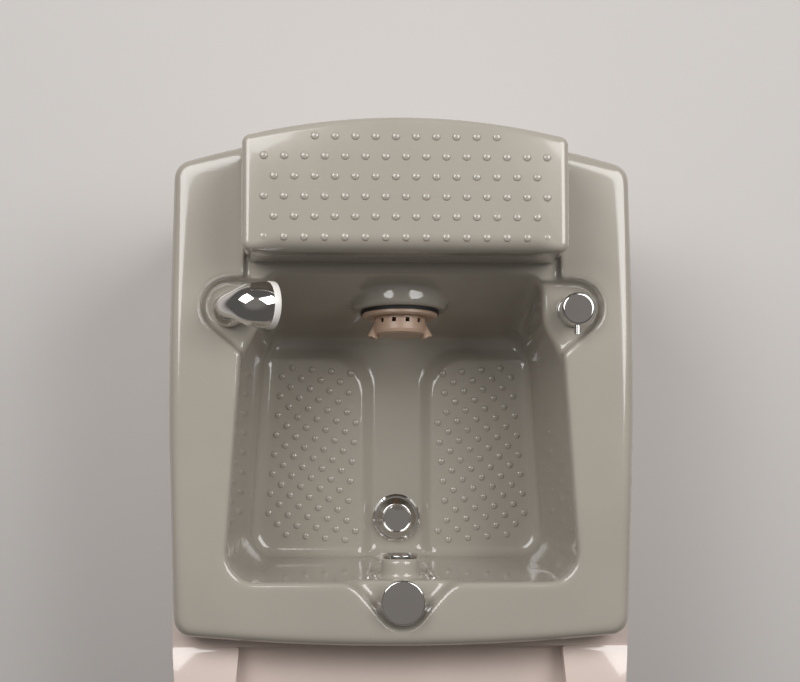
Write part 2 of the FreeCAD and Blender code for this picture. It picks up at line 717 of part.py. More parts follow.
def recess_hollow(growth):
    apex_y = near_y + mm.recess_apex_from_near
    shoulder_y = near_y + mm.well_near_setback + mm.recess_step
    spread = mm.recess_half / (mm.recess_reach - mm.recess_apex_from_near)
    shoulder_x = (shoulder_y - apex_y) * spread
    outline = [(0, apex_y, mm.recess_radius)] + mirrored([
        (shoulder_x, shoulder_y, mm.recess_shoulder),
        (shoulder_x + mm.recess_shoulder, shoulder_y, mm.overrun),
        (shoulder_x + mm.recess_shoulder, shoulder_y + mm.recess_shoulder, mm.overrun),
    ])
    low = recess_z - growth
    return frustum(grown(outline, growth - mm.recess_flare), low, grown(outline, growth), top_z)


def groove_hollow(growth):
    """Groove that carries the centre channel up the near wall."""
    low = channel_z + mm.floor_round - growth
    high = mm.deck_height - mm.groove_top_drop + growth

    def section(half, height):
        wall = near_wall_y(height) - mm.groove_depth - growth
        inner = near_wall_y(height) + mm.floor_round
        return mirrored([
            (half + growth, wall, mm.bed_height / 2 + growth),
            (half + growth, inner, mm.overrun),
        ])

    return frustum(section(mm.groove_low_half, low), low, section(mm.groove_high_half, high), high)


def bump(radius, rise):
    """Low round dome whose foot lies at the origin."""
    ball = (radius * radius + rise * rise) / (2 * rise)
    sphere = Part.makeSphere(ball, Vector(0, 0, rise - ball))
    keeper = Part.makeBox(4 * radius, 4 * radius, 2 * rise, Vector(-2 * radius, -2 * radius, -rise / 2))
    return sphere.common(keeper)


def bed_bump_places(side):
    """Staggered rows, turned a little because the beds splay."""
    edge = far_y - mm.trough_setback - mm.channel_slope
    floor = well_outline(bed_z)
    bed = [
        (mm.channel_half + mm.channel_slope, floor[0][1] + mm.floor_round, mm.overrun),
        (floor[0][0] - mm.floor_round, floor[0][1] + mm.floor_round, mm.well_near_corner),
        (floor[1][0] - mm.floor_round, edge, mm.overrun),
        (mm.channel_half + mm.channel_slope, edge, mm.bed_corner),
    ]
    lean = math.radians(mm.bed_bump_turn)
    along = Vector(math.cos(lean), math.sin(lean), 0)
    down = Vector(math.sin(lean), -math.cos(lean), 0)
    start = Vector(bed[2][0], edge, 0) + down * mm.bed_bump_edge * 0.8
    bed_face = Part.Face(outline_wire(grown(bed, -mm.bed_bump_edge * 0.7), 0))
    rows = int((edge - bed[0][1]) / (mm.bed_bump_pitch / 2)) + 1
    columns = int((bed[1][0] - bed[0][0]) / mm.bed_bump_pitch) + 2
    places = []
    for row in range(rows):
        for column in range(columns):
            across = (column + (row % 2) / 2) * mm.bed_bump_pitch
            spot = start - along * across + down * (row * mm.bed_bump_pitch / 2)
            if bed_face.isInside(spot, mm.overrun / 100, True):
                places.append(Vector(side * spot.x, spot.y, bed_z))
    return places


# Tub.

rim = rim_outline()
deck = prism(rim, skirt_z, mm.deck_height)
deck = rounded_at(deck, mm.deck_height, mm.rim_round)
deck_under_z = mm.deck_height - mm.laminate
under_deck = prism(grown(rim, -mm.laminate), skirt_z - mm.overrun, deck_under_z)
under_deck = rounded_at(under_deck, deck_under_z, mm.rim_round - mm.laminate)


def outer_forms(growth):
    """Everything of the well that hangs below the deck, grown by a thickness."""
    forms = [well_hollow(channel_z, growth), pod_hollow(1, growth), pod_hollow(-1, growth),
             ledge_hollow(growth), recess_hollow(growth), groove_hollow(growth)]
    return forms[0].fuse(forms[1:])


under_top_z = mm.deck_height - mm.laminate / 2
laminate_forms = outer_forms(mm.laminate).common(prism(rim, 0, under_top_z))
boss_y = near_y + mm.boss_reach
overflow_z = mm.deck_height - mm.overflow_drop
boss_back = near_wall_y(overflow_z) - mm.groove_depth - mm.laminate
boss = Part.makeCylinder(mm.boss_radius, boss_y - boss_back, Vector(0, boss_back, overflow_z),
                         Vector(0, 1, 0))
boss = boss.makeFillet(mm.well_round, [edge for edge in boss.Edges
                                       if abs(edge.BoundBox.YMin - boss_y) < 1e-3
                                       and edge.BoundBox.YLength < 1e-3])
well = well_hollow(bed_z, 0).fuse(well_hollow(channel_z, 0).common(trough_region()))
tub_shape = deck.cut(under_deck).fuse(laminate_forms)
for hollow in (well, groove_hollow(0), pod_hollow(1, 0), pod_hollow(-1, 0), recess_hollow(0),
               ledge_hollow(0)):
    tub_shape = tub_shape.cut(hollow)
tub_shape = tub_shape.fuse(boss)

drain_y = near_y + mm.drain_setback
knob_y = near_y + mm.knob_setback
pod_y = far_y - mm.pod_centre_setback
post_y = far_y - mm.post_setback
jet_z = mm.deck_height - mm.jet_drop
jet_lean = math.radians(mm.jet_tilt)
jet_axis = Vector(0, -math.cos(jet_lean), math.sin(jet_lean))
jet_at = Vector(0, far_y - mm.jet_setback, jet_z)
jet_place = Placement(jet_at, Rotation(UP, jet_axis))
hole_depth = mm.laminate * 4

# The far wall leans back more than the jet does: a round boss gives the jet an upright seat.
jet_boss = Part.makeCylinder(mm.jet_boss_radius, mm.jet_boss_radius, Vector(0, 0, -mm.jet_boss_radius))
jet_boss = rounded_at(jet_boss, 0, mm.well_round)
jet_boss.Placement = jet_place
jet_boss = jet_boss.common(well_hollow(channel_z, mm.laminate))
jet_boss_back = Part.makeCylinder(mm.jet_boss_radius - mm.laminate, mm.jet_boss_radius,
                                  Vector(0, 0, -mm.jet_boss_radius - mm.laminate))
jet_boss_back.Placement = jet_place
tub_shape = tub_shape.fuse(jet_boss).cut(jet_boss_back)


def hole(radius, centre, direction=UP):
    """Drill through a laminate, centred on a point."""
    start = centre - direction * hole_depth
    return Part.makeCylinder(radius, 2 * hole_depth, start, direction)


tub_holes = [
    hole(mm.spigot_radius + mm.fitting_gap, Vector(0, drain_y, channel_z)),
    hole(mm.jet_hole, jet_at, jet_axis),
    hole(mm.overflow_pipe + mm.fitting_gap, Vector(0, boss_y - hole_depth + mm.overrun, overflow_z),
         Vector(0, 1, 0)),
    hole(mm.knob_shaft + mm.fitting_gap, Vector(0, knob_y, recess_z)),
    hole(mm.mixer_bore + mm.fitting_gap, Vector(mm.pod_centre_x, pod_y, pod_z)),
    hole(mm.socket_shank + mm.fitting_gap, Vector(-mm.pod_centre_x, pod_y, pod_z)),
]
guide_outer = mm.post_radius + mm.running_fit + mm.guide_wall
for side in (-1, 1):
    post_at = Vector(side * mm.post_half_spacing, post_y, ledge_z)
    tub_holes.append(hole(guide_outer + mm.fitting_gap, post_at))
tub_shape = tub_shape.cut(Part.makeCompound(tub_holes))
bed_bumps = []
for side in (-1, 1):
    for place in bed_bump_places(side):
        dome = bump(mm.bump_radius, mm.bump_rise)
        dome.translate(place)
        bed_bumps.append(dome)
tub_shape = tub_shape.fuse(bed_bumps)
print("tub", tub_shape.isValid(), len(tub_shape.Solids), round(tub_shape.Volume), len(bed_bumps))
code_piece("tub", tub_shape.Solids[0] if len(tub_shape.Solids) == 1 else tub_shape)


# Footrest, its plate, posts and guides.

def footrest_outline():
    """Footrest in plan: straight front and sides, bowed back."""
    back = far_y - mm.footrest_back_setback
    front = far_y - mm.footrest_front_setback
    tip, at = crown_corner(back, mm.footrest_bow_radius, mm.footrest_bow_half, 1)
    half = mm.footrest_half
    return [
        (half, front, mm.footrest_corner),
        (half, at(half), mm.footrest_corner),
        (0, tip, mm.footrest_bow_radius),
        (-half, at(half), mm.footrest_corner),
        (-half, front, mm.footrest_corner),
    ]


footrest_top = mm.deck_height + mm.footrest_rise


def footrest_form(growth):
    """Block with leaning sides and a rounded upper edge."""
    top = footrest_top + growth
    radius = mm.footrest_round + growth
    outline = footrest_outline()
    sections = [(grown(outline, growth), ledge_z + min(growth, 0))]
    for lean in turns(0, 30, 60, 90):
        height = top - radius * (1 - math.sin(lean))
        inset = mm.footrest_draft + radius * (1 - math.cos(lean))
        sections.append((grown(outline, growth - inset), height))
    return stepped(sections)


footrest_shape = footrest_form(0).cut(footrest_form(-mm.shell_wall))
rest_face = Part.Face(outline_wire(grown(footrest_outline(), -mm.rest_bump_edge), 0))
first_row = far_y - mm.footrest_back_setback - mm.rest_bump_start
rest_rows = int((mm.footrest_front_setback - mm.footrest_back_setback) / mm.rest_bump_pitch)
rest_columns = int(mm.footrest_half / mm.rest_bump_pitch)
rest_bumps = []
for row in range(rest_rows):
    for column in range(-rest_columns - 1, rest_columns + 1):
        across = (column + (0.5 if row % 2 == 0 else 0)) * mm.rest_bump_pitch
        spot = Vector(across, first_row - row * mm.rest_bump_pitch, 0)
        if rest_face.isInside(spot, mm.overrun / 100, True):
            dome = bump(mm.bump_radius, mm.bump_rise)
            dome.translate(Vector(spot.x, spot.y, footrest_top))
            rest_bumps.append(dome)
footrest_shape = footrest_shape.fuse(rest_bumps)
print("footrest", footrest_shape.isValid(), len(footrest_shape.Solids), len(rest_bumps))
code_piece("footrest", footrest_shape.Solids[0])

plate_top = cell.deck_height + cell.footrest_rise - cell.shell_wall
post_bound_y = bound_far - cell.post_setback
plate_reach = cell.guide_flange + cell.post_radius
keep(block("footrest_plate",
           (cell.post_half_spacing * 2 + plate_reach * 2, plate_reach * 2, cell.laminate),
           (-(cell.post_half_spacing + plate_reach), post_bound_y - plate_reach,
            plate_top - cell.laminate)), "footrest_plate")


def grouped(label, parts):
    """Several like solids under one name."""
    item = document.addObject("Part::Compound", label)
    item.Links = parts
    return keep(item, label)


post_length = cell.post_drop + cell.footrest_rise - cell.shell_wall - cell.laminate
posts = []
guides = []
guide_bore = cell.post_radius + cell.running_fit
guide_radius = guide_bore + cell.guide_wall
guide_length = cell.guide_drop - cell.ledge_drop
for word, side in (("left", -1), ("right", 1)):
    at = (cell.post_half_spacing * side, post_bound_y, cell.deck_height - cell.post_drop)
    post = turned_body(f"post_{word}", [(ZERO, ZERO), (cell.post_radius, ZERO),
                                        (cell.post_radius, post_length), (ZERO, post_length)])
    set_base(post, at)
    posts.append(post)
    flange_low = guide_length - cell.laminate * 2
    guide = turned_body(f"guide_{word}", [
        (guide_bore, ZERO), (guide_radius, ZERO), (guide_radius, flange_low),
        (cell.guide_flange, flange_low), (cell.guide_flange, guide_length - cell.laminate),
        (guide_radius, guide_length - cell.laminate), (guide_radius, guide_length),
        (guide_bore, guide_length)])
    set_base(guide, (at[0], at[1], cell.deck_height - cell.guide_drop))
    guides.append(guide)
grouped("footrest_posts", posts)
grouped("footrest_guides", guides)

# Drain, under the near end of the centre channel.

bound_drain_y = bound_near + cell.drain_setback
drain_at = (ZERO, bound_drain_y, bound_channel)
spigot_bore = cell.spigot_radius - cell.spigot_wall
flange_edge = cell.drain_flange_rise / 2
drain_ring = turned_body("drain_ring", [
    (spigot_bore, -cell.spigot_length), (cell.spigot_radius, -cell.spigot_length),
    (cell.spigot_radius, ZERO), (cell.drain_flange_radius, ZERO),
    (cell.drain_flange_radius, flange_edge),
    (cell.drain_flange_radius - cell.drain_flange_rise, cell.drain_flange_rise),
    (spigot_bore + flange_edge, cell.drain_flange_rise),
    (spigot_bore, cell.drain_flange_rise - flange_edge)])
set_base(drain_ring, drain_at)
spider_hub = cell.stopper_stem * 2
spider_low = -(cell.spider_bar * 4)
spider_reach = spigot_bore + cell.spigot_wall / 2
drain_bars = [drain_ring]
bar_sides = (spider_reach * 2, cell.spider_bar * 2)
for word, sides in (("across", bar_sides), ("along", bar_sides[::-1])):
    corner = (-(sides[0] / 2), bound_drain_y - sides[1] / 2, bound_channel + spider_low)
    drain_bars.append(block(f"drain_bar_{word}", (sides[0], sides[1], cell.spider_bar * 2), corner))
drain_bars.append(round_bar("drain_hub", spider_hub, cell.spider_bar * 3,
                            (ZERO, bound_drain_y, bound_channel + spider_low)))
drain_solid = joined("drain_solid", drain_bars)
drain_stem_bore = round_bar("drain_stem_bore", cell.stopper_stem + cell.running_fit,
                            cell.spider_bar * 6,
                            (ZERO, bound_drain_y, bound_channel + spider_low - cell.spider_bar))
keep(cut("drain_flange", drain_solid, drain_stem_bore), "drain_flange")

washer_top = -cell.laminate
turned("drain_gasket", ring_profile(cell.spigot_radius + cell.seat_gap,
                                    cell.drain_flange_radius, washer_top - cell.washer,
                                    washer_top), drain_at)


def locknut(label, bore, at, top):
    """Round nut with chamfered edges under a laminate."""
    outer = bore + cell.nut_wall
    edge = cell.nut_height / 6
    turned(label, [
        (bore, top - cell.nut_height), (outer - edge, top - cell.nut_height),
        (outer, top - cell.nut_height + edge), (outer, top - edge), (outer - edge, top),
        (bore, top)], at)


locknut("drain_locknut", cell.spigot_radius + cell.running_fit, drain_at,
        washer_top - cell.washer)
body_bore = cell.spigot_radius + cell.running_fit
body_outer = body_bore + cell.drain_body_wall
body_top = washer_top - cell.washer - cell.nut_height - cell.fitting_gap
body_floor = -cell.drain_body_depth
drain_cup = turned_body("drain_cup", [
    (ZERO, body_floor), (body_outer, body_floor), (body_outer, body_top), (body_bore, body_top),
    (body_bore, body_floor + cell.drain_body_wall), (ZERO, body_floor + cell.drain_body_wall)])
set_base(drain_cup, drain_at)
BACK = Vector(0, -1, 0)
SIDE = Vector(1, 0, 0)
overflow_bound_y = bound_near + cell.overflow_setback
tee_half = cell.waste_radius + cell.socket_length - cell.waste_wall
outlet_end = overflow_bound_y + tee_half - cell.socket_length
outlet_start = bound_drain_y - cell.spigot_radius - cell.drain_body_wall / 2
drain_outlet = round_bar("drain_outlet", cell.waste_radius, outlet_start - outlet_end,
                         (ZERO, outlet_start, cell.waste_height), BACK)
lever_boss = round_bar("lever_boss", cell.spigot_wall * 2, cell.drain_body_wall * 4,
                       (cell.spigot_radius + cell.drain_body_wall / 2, bound_drain_y,
                        cell.waste_height), SIDE)
drain_case = joined("drain_case", [drain_cup, drain_outlet, lever_boss])
drain_passage = round_bar("drain_passage", cell.waste_radius - cell.waste_wall,
                          outlet_start - outlet_end + cell.spigot_radius,
                          (ZERO, outlet_start + cell.spigot_radius - cell.overrun,
                           cell.waste_height), BACK)
keep(cut("drain_body", drain_case, drain_passage), "drain_body")

cap_low = cell.drain_flange_rise + cell.stopper_rise + cell.fitting_gap
cap_top = cap_low + cell.stopper_thickness
stem_low = -(cell.spigot_length + cell.spider_bar * 2)
turned("drain_stopper", [
    (ZERO, stem_low), (cell.stopper_stem, stem_low), (cell.stopper_stem, cap_low),
    (cell.stopper_radius, cap_low), (cell.stopper_radius, cap_top), (ZERO, cap_top)], drain_at,
    rounds=[(cell.stopper_radius, cap_top, cell.stopper_thickness / 2)])
turned("stopper_seal", ring_profile(cell.stopper_stem, cell.seal_radius,
                                    cap_low - cell.seal_height, cap_low), drain_at)

# Overflow and waste.

boss_bound_y = bound_near + cell.boss_reach
overflow_bound_z = cell.deck_height - cell.overflow_drop
plate_plug = cell.overflow_pipe - cell.waste_wall
overflow_disc = turned_body("overflow_plate", [
    (ZERO, -cell.overflow_plate), (plate_plug, -cell.overflow_plate), (plate_plug, ZERO),
    (cell.overflow_radius, ZERO), (cell.overflow_radius, cell.overflow_plate),
    (ZERO, cell.overflow_plate)], rounds=[(cell.overflow_radius, cell.overflow_plate,
                                          cell.overflow_plate / 3)])
overflow_disc.Placement = Placement(Vector(), Rotation(UP, Vector(0, 1, 0)))
set_base(overflow_disc, (ZERO, boss_bound_y, overflow_bound_z))
keep(overflow_disc, "overflow_plate")


def rounded_route(points):
    """Wire of straight runs with tangent arcs, each as wide as its shorter run allows."""
    stops = []
    least = None
    for before, here, after in zip(points, points[1:], points[2:]):
        first = (here - before).normalize()
        second = (after - here).normalize()
        half_turn = first.getAngle(second) / 2
        shorter = min((here - before).Length, (after - here).Length)
        reach = 0.45 * shorter
        radius = reach / math.tan(half_turn)
        least = radius if least is None else min(least, radius)
        inward = (second - first).normalize()
        middle = here + inward * (radius / math.cos(half_turn) - radius)
        stops.append((here - first * reach, middle, here + second * reach))
    edges = []
    start = points[0]
    for first, middle, last in stops:
        edges.append(Part.LineSegment(start, first).toShape())
        edges.append(Part.Arc(first, middle, last).toShape())
        start = last
    edges.append(Part.LineSegment(start, points[-1]).toShape())
    return Part.Wire(edges), least


def swept(route, radius):
    """Round solid along a wire."""
    first = route.OrderedEdges[0]
    start = first.valueAt(first.FirstParameter)
    toward = first.valueAt(first.LastParameter) - start
    ring = Part.Wire(Part.makeCircle(radius, start, toward))
    return route.makePipeShell([ring], True, False)


def hose(label, points, radius):
    """Hose or lead along its route; its bend and its volume are printed."""
    route, least = rounded_route([Vector(*point) for point in points])
    solid = swept(route, radius)
    expected = math.pi * radius * radius * route.Length
    print(label, "least bend", round(least, 1), "in diameters", round(least / radius / 2, 1),
          "volume over length", round(solid.Volume / expected, 3), solid.isValid())
    return code_piece(label, solid)


overflow_y = near_y + mm.overflow_setback
elbow_end_z = overflow_z - mm.boss_radius * 1.6
elbow_route, elbow_bend = rounded_route([Vector(0, boss_y, overflow_z),
                                         Vector(0, overflow_y, overflow_z),
                                         Vector(0, overflow_y, elbow_end_z)])
elbow = swept(elbow_route, mm.overflow_pipe).cut(
    swept(elbow_route, mm.overflow_pipe - mm.waste_wall))
code_piece("overflow_elbow", elbow)

tee_top = mm.waste_height + mm.waste_radius + mm.socket_length + mm.waste_wall
pipe_low = cell.waste_height + cell.waste_radius + cell.waste_wall
elbow_low = overflow_bound_z - cell.boss_radius * 1.6
pipe_bore = cell.overflow_pipe - cell.waste_wall
bell_bore = cell.overflow_pipe + cell.running_fit
bell_outer = bell_bore + cell.waste_wall
bell_low = elbow_low - pipe_low
bell_top = bell_low + cell.socket_length
turned("overflow_pipe", [
    (pipe_bore, ZERO), (cell.overflow_pipe, ZERO),
    (cell.overflow_pipe, bell_low - cell.waste_wall), (bell_outer, bell_low),
    (bell_outer, bell_top), (bell_bore, bell_top), (bell_bore, bell_low), (pipe_bore, bell_low)],
    (ZERO, overflow_bound_y, pipe_low))

tee_outer = cell.waste_radius + cell.running_fit + cell.waste_wall
branch_outer = cell.overflow_pipe + cell.running_fit + cell.waste_wall
branch_length = cell.waste_radius + cell.waste_wall + cell.socket_length
tee_axis = (ZERO, overflow_bound_y + tee_half, cell.waste_height)
tee_axis_foot = (ZERO, overflow_bound_y, cell.waste_height)
tee_case = joined("tee_case", [
    round_bar("tee_run", tee_outer, tee_half * 2, tee_axis, BACK),
    round_bar("tee_branch", branch_outer, branch_length, tee_axis_foot)])
tee_bores = joined("tee_bores", [
    round_bar("tee_bore", cell.waste_radius - cell.waste_wall, tee_half * 2, tee_axis, BACK),
    round_bar("tee_socket_near_well", cell.waste_radius + cell.running_fit, cell.socket_length,
              tee_axis, BACK),
    round_bar("tee_socket_rear", cell.waste_radius + cell.running_fit, cell.socket_length,
              (ZERO, overflow_bound_y - tee_half + cell.socket_length, cell.waste_height), BACK),
    round_bar("tee_branch_bore", pipe_bore, branch_length, tee_axis_foot),
    round_bar("tee_branch_socket", bell_bore, branch_length,
              (ZERO, overflow_bound_y, pipe_low))])
keep(cut("waste_tee", tee_case, tee_bores), "waste_tee")

pipe_start = overflow_bound_y - tee_half + cell.socket_length
pipe_end = -bound_far + cell.shell_wall
pipe_length = pipe_start - pipe_end
plate_y = -bound_far + cell.rail_rear_gap + cell.tube / 2 - cell.plate_thick / 2
bead_low = pipe_start - plate_y + cell.seat_gap
bead_high = bead_low + cell.waste_wall
waste_pipe = turned_body("waste_pipe", [
    (cell.waste_radius - cell.waste_wall, ZERO), (cell.waste_radius, ZERO),
    (cell.waste_radius, bead_low), (cell.bead_radius, bead_low),
    (cell.bead_radius, bead_high), (cell.waste_radius, bead_high),
    (cell.waste_radius, pipe_length), (cell.waste_radius - cell.waste_wall, pipe_length)])
waste_pipe.Placement = Placement(Vector(), Rotation(UP, BACK))
set_base(waste_pipe, (ZERO, pipe_start, cell.waste_height))
keep(waste_pipe, "waste_pipe")

# Drain knob in the front recess, its gear housing and its cable.

bound_knob_y = bound_near + cell.knob_setback
knob_at = (ZERO, bound_knob_y, bound_recess)
shaft_bore = cell.knob_shaft + cell.running_fit
turned("knob_collar", [
    (shaft_bore, ZERO), (cell.collar_radius, ZERO),
    (cell.collar_radius, cell.collar_height / 2),
    (cell.collar_radius - cell.collar_height / 2, cell.collar_height),
    (shaft_bore, cell.collar_height)], knob_at)
knob_high = cell.recess_drop + cell.knob_top
rim_low = knob_high - cell.knob_rim
neck_low = cell.collar_height + cell.seat_gap
shaft_low = -(cell.laminate + cell.housing_height - cell.collar_height)
turned("drain_knob", [
    (ZERO, shaft_low), (cell.knob_shaft, shaft_low), (cell.knob_shaft, neck_low),
    (cell.knob_neck, neck_low), (cell.knob_neck, rim_low), (cell.knob_radius, rim_low),
    (cell.knob_radius, knob_high), (ZERO, knob_high)], knob_at,
    rounds=[(cell.knob_radius, knob_high, cell.overrun),
            (cell.knob_radius, rim_low, cell.overrun)])
housing_case = block("housing_case",
                     (cell.housing_width, cell.housing_front + cell.housing_back,
                      cell.housing_height),
                     (-(cell.housing_width / 2), bound_knob_y - cell.housing_back,
                      bound_recess - cell.laminate - cell.housing_height))
housing_bore = round_bar("housing_bore", shaft_bore, cell.housing_height,
                         (ZERO, bound_knob_y, bound_recess + shaft_low))
keep(cut("knob_housing", housing_case, housing_bore), "knob_housing")

# Pipeless jet on the far wall.  Its pieces share an axis that leans with the wall.

jet_bore_radius = cell.jet_hole - cell.fitting_gap
sleeve_bore = jet_bore_radius - cell.jet_sleeve_wall
flange_low = cell.jet_gasket_height
flange_high = flange_low + cell.jet_flange_height
turned("jet_gasket", ring_profile(jet_bore_radius + cell.seat_gap, cell.jet_gasket_radius, ZERO,
                                  flange_low), place=jet_place)
turned("jet_flange", [
    (sleeve_bore, -cell.jet_sleeve_length), (jet_bore_radius, -cell.jet_sleeve_length),
    (jet_bore_radius, flange_low), (cell.jet_flange_radius, flange_low),
    (cell.jet_flange_radius, flange_high - cell.jet_flange_height / 3),
    (cell.jet_flange_radius - cell.jet_flange_height / 2, flange_high),
    (sleeve_bore, flange_high)], place=jet_place)


def revolved(profile):
    """Solid turned about Z from (radius, height) corners."""
    corners = [Vector(across, 0, up) for across, up in profile]
    face = Part.Face(Part.makePolygon(corners + corners[:1]))
    return face.revolve(Vector(), UP, 360)


cover_low = mm.jet_gasket_height + mm.jet_flange_height
cover_top = cover_low + mm.jet_cover_height
cover_inner = mm.jet_cover_radius - mm.jet_cover_wall
cover_round = mm.jet_cover_wall * 2
cover_shape = revolved([
    (cover_inner, cover_low), (mm.jet_cover_radius, cover_low),
    (mm.jet_cover_radius, cover_top - cover_round),
    (mm.jet_cover_radius - cover_round * 0.3, cover_top - cover_round * 0.3),
    (mm.jet_cover_radius - cover_round, cover_top), (0, cover_top),
    (0, cover_top - mm.jet_cover_wall), (cover_inner, cover_top - mm.jet_cover_wall)])
slots = []
slot_count = 12
for number in range(slot_count):
    slot = Part.makeBox(mm.jet_cover_wall * 3, mm.jet_cover_wall * 2, mm.jet_cover_height / 4,
                        Vector(mm.jet_cover_radius - 2 * mm.jet_cover_wall, -mm.jet_cover_wall,
                               cover_low + mm.jet_cover_wall))
    slot.rotate(Vector(), UP, (number + 0.5) * 360 / slot_count)
    slots.append(slot)
cover_shape = cover_shape.cut(Part.makeCompound(slots))
nozzle_bores = []
for side in (-1, 1):
    aim = Vector(side * math.sin(math.radians(mm.nozzle_splay)), 0,
                 math.cos(math.radians(mm.nozzle_splay)))
    root = Vector(side * mm.nozzle_offset, 0, cover_low + mm.nozzle_rise)
    nozzle = Part.makeCone(mm.nozzle_root, mm.nozzle_radius, mm.nozzle_length, root, aim)
    cover_shape = cover_shape.fuse(nozzle)
    depth = mm.nozzle_length - mm.jet_cover_wall
    nozzle_bores.append(Part.makeCylinder(mm.nozzle_bore, depth + mm.overrun,
                                          root + aim * mm.jet_cover_wall, aim))
cover_shape = cover_shape.cut(Part.makeCompound(nozzle_bores))
code_piece("jet_cover", cover_shape.Solids[0], jet_place)

impeller_low = mm.jet_gasket_height + mm.jet_flange_height + mm.overrun
hub = Part.makeCylinder(mm.impeller_hub, mm.impeller_height, Vector(0, 0, impeller_low))
blades = []
blade_count = 6
for number in range(blade_count):
    blade = Part.makeBox(mm.impeller_radius - mm.impeller_hub / 2, 2 * mm.blade_half,
                         mm.impeller_height, Vector(mm.impeller_hub / 2, -mm.blade_half,
                                                    impeller_low))
    blade.rotate(Vector(), UP, number * 360 / blade_count)
    blades.append(blade)
back_disc = Part.makeCylinder(mm.impeller_radius, mm.overrun, Vector(0, 0, impeller_low))
impeller = hub.fuse(blades + [back_disc])
impeller = impeller.cut(Part.makeCylinder(mm.jet_shaft, 2 * mm.impeller_height,
                                          Vector(0, 0, impeller_low - mm.overrun)))
code_piece("jet_impeller", impeller.removeSplitter(), jet_place)

neck_start = -cell.jet_sleeve_length + cell.clamp_height
motor_face = -cell.jet_sleeve_length - cell.fitting_gap
motor_back = motor_face - cell.motor_length
shaft_back = motor_face - cell.socket_length
shaft_front = flange_high + cell.overrun + cell.impeller_height
turned("jet_shaft", [(ZERO, shaft_back), (cell.jet_shaft, shaft_back),
                     (cell.jet_shaft, shaft_front), (ZERO, shaft_front)], place=jet_place)
nut_top = -cell.laminate
nut_bore = jet_bore_radius + cell.running_fit
turned("jet_locknut", ring_profile(nut_bore, nut_bore + cell.nut_wall * 1.5,
                                   nut_top - cell.nut_height, nut_top), place=jet_place)
turned("motor_clamp", ring_profile(nut_bore, nut_bore + cell.nut_wall * 0.75, motor_face,
                                   neck_start), place=jet_place)
motor_bore = cell.jet_shaft + cell.running_fit
motor_edge = cell.jet_cover_wall
turned("jet_motor", [
    (ZERO, motor_back), (cell.motor_radius - motor_edge, motor_back),
    (cell.motor_radius, motor_back + motor_edge), (cell.motor_radius, motor_face - motor_edge),
    (cell.motor_radius - motor_edge, motor_face), (sleeve_bore - cell.running_fit, motor_face),
    (sleeve_bore - cell.running_fit, neck_start), (motor_bore, neck_start),
    (motor_bore, shaft_back), (ZERO, shaft_back)], place=jet_place)

# Mixer on the right pod.

bound_pod_y = bound_far - cell.pod_centre_setback
mixer_at = (cell.pod_centre_x, bound_pod_y, bound_pod)
column_top = cell.mixer_column_height
spindle_bore = cell.ball_radius + cell.running_fit
spindle_low = cell.collar_height + cell.overrun
valve_top = washer_top - cell.nut_height - cell.fitting_gap
valve_low = valve_top - cell.mixer_body_height
shank_low = valve_low + cell.laminate
turned("mixer_base", [
    (cell.mixer_bore - cell.mixer_shank_wall, shank_low), (cell.mixer_bore, shank_low),
    (cell.mixer_bore, ZERO), (cell.mixer_collar_radius, ZERO),
    (cell.mixer_collar_radius, cell.collar_height),
    (cell.mixer_column, cell.collar_height), (cell.mixer_column, column_top),
    (spindle_bore, column_top), (spindle_bore, spindle_low), (ZERO, spindle_low), (ZERO, ZERO),
    (cell.mixer_bore - cell.mixer_shank_wall, ZERO)], mixer_at,
    rounds=[(cell.mixer_column, column_top, cell.overrun),
            (cell.mixer_collar_radius, cell.collar_height, cell.overrun / 2)])
locknut("mixer_locknut", cell.mixer_bore + cell.running_fit, mixer_at, washer_top)
valve_bore = cell.mixer_bore + cell.running_fit
valve_case = turned_body("valve_case", [
    (ZERO, valve_low), (cell.mixer_body_radius, valve_low), (cell.mixer_body_radius, valve_top),
    (valve_bore, valve_top), (valve_bore, shank_low), (ZERO, shank_low)])
set_base(valve_case, mixer_at)
stub = cell.supply_radius
stub_length = cell.socket_length
stub_low_z = bound_pod + valve_low - stub_length
valve_parts = [valve_case]
for word, side in (("hot", -1), ("cold", 1)):
    valve_parts.append(round_bar(f"valve_{word}", stub, stub_length + cell.overrun,
                                 (cell.pod_centre_x + cell.mixer_bore * side, bound_pod_y,
                                  stub_low_z)))
outlet_z = bound_pod + valve_low + cell.mixer_body_height / 2
valve_parts.append(round_bar("valve_outlet", stub, cell.socket_length + cell.mixer_bore / 2,
                             (cell.pod_centre_x, bound_pod_y + cell.mixer_body_radius
                              - cell.mixer_bore / 2, outlet_z), Vector(0, 1, 0)))
keep(joined("mixer_valve", valve_parts), "mixer_valve")

tilt_z = cell.pod_drop + cell.tilt_rise
turret_top = column_top + cell.turret_rise
turret_low = column_top + cell.seat_gap
turret_body = turned_body("turret_body", [
    (ZERO, spindle_low + cell.seat_gap), (cell.ball_radius, spindle_low + cell.seat_gap),
    (cell.ball_radius, turret_low), (cell.ball_radius * 2, turret_low),
    (cell.ball_radius * 2, turret_top), (cell.ball_neck, turret_top), (cell.ball_neck, tilt_z),
    (ZERO, tilt_z)])
set_base(turret_body, mixer_at)
turret_ball = document.addObject("Part::Sphere", "turret_ball")
turret_ball.setExpression("Radius", cell.ball_radius.formula)
set_base(turret_ball, (cell.pod_centre_x, bound_pod_y, bound_pod + tilt_z))
keep(joined("mixer_turret", [turret_body, turret_ball]), "mixer_turret")

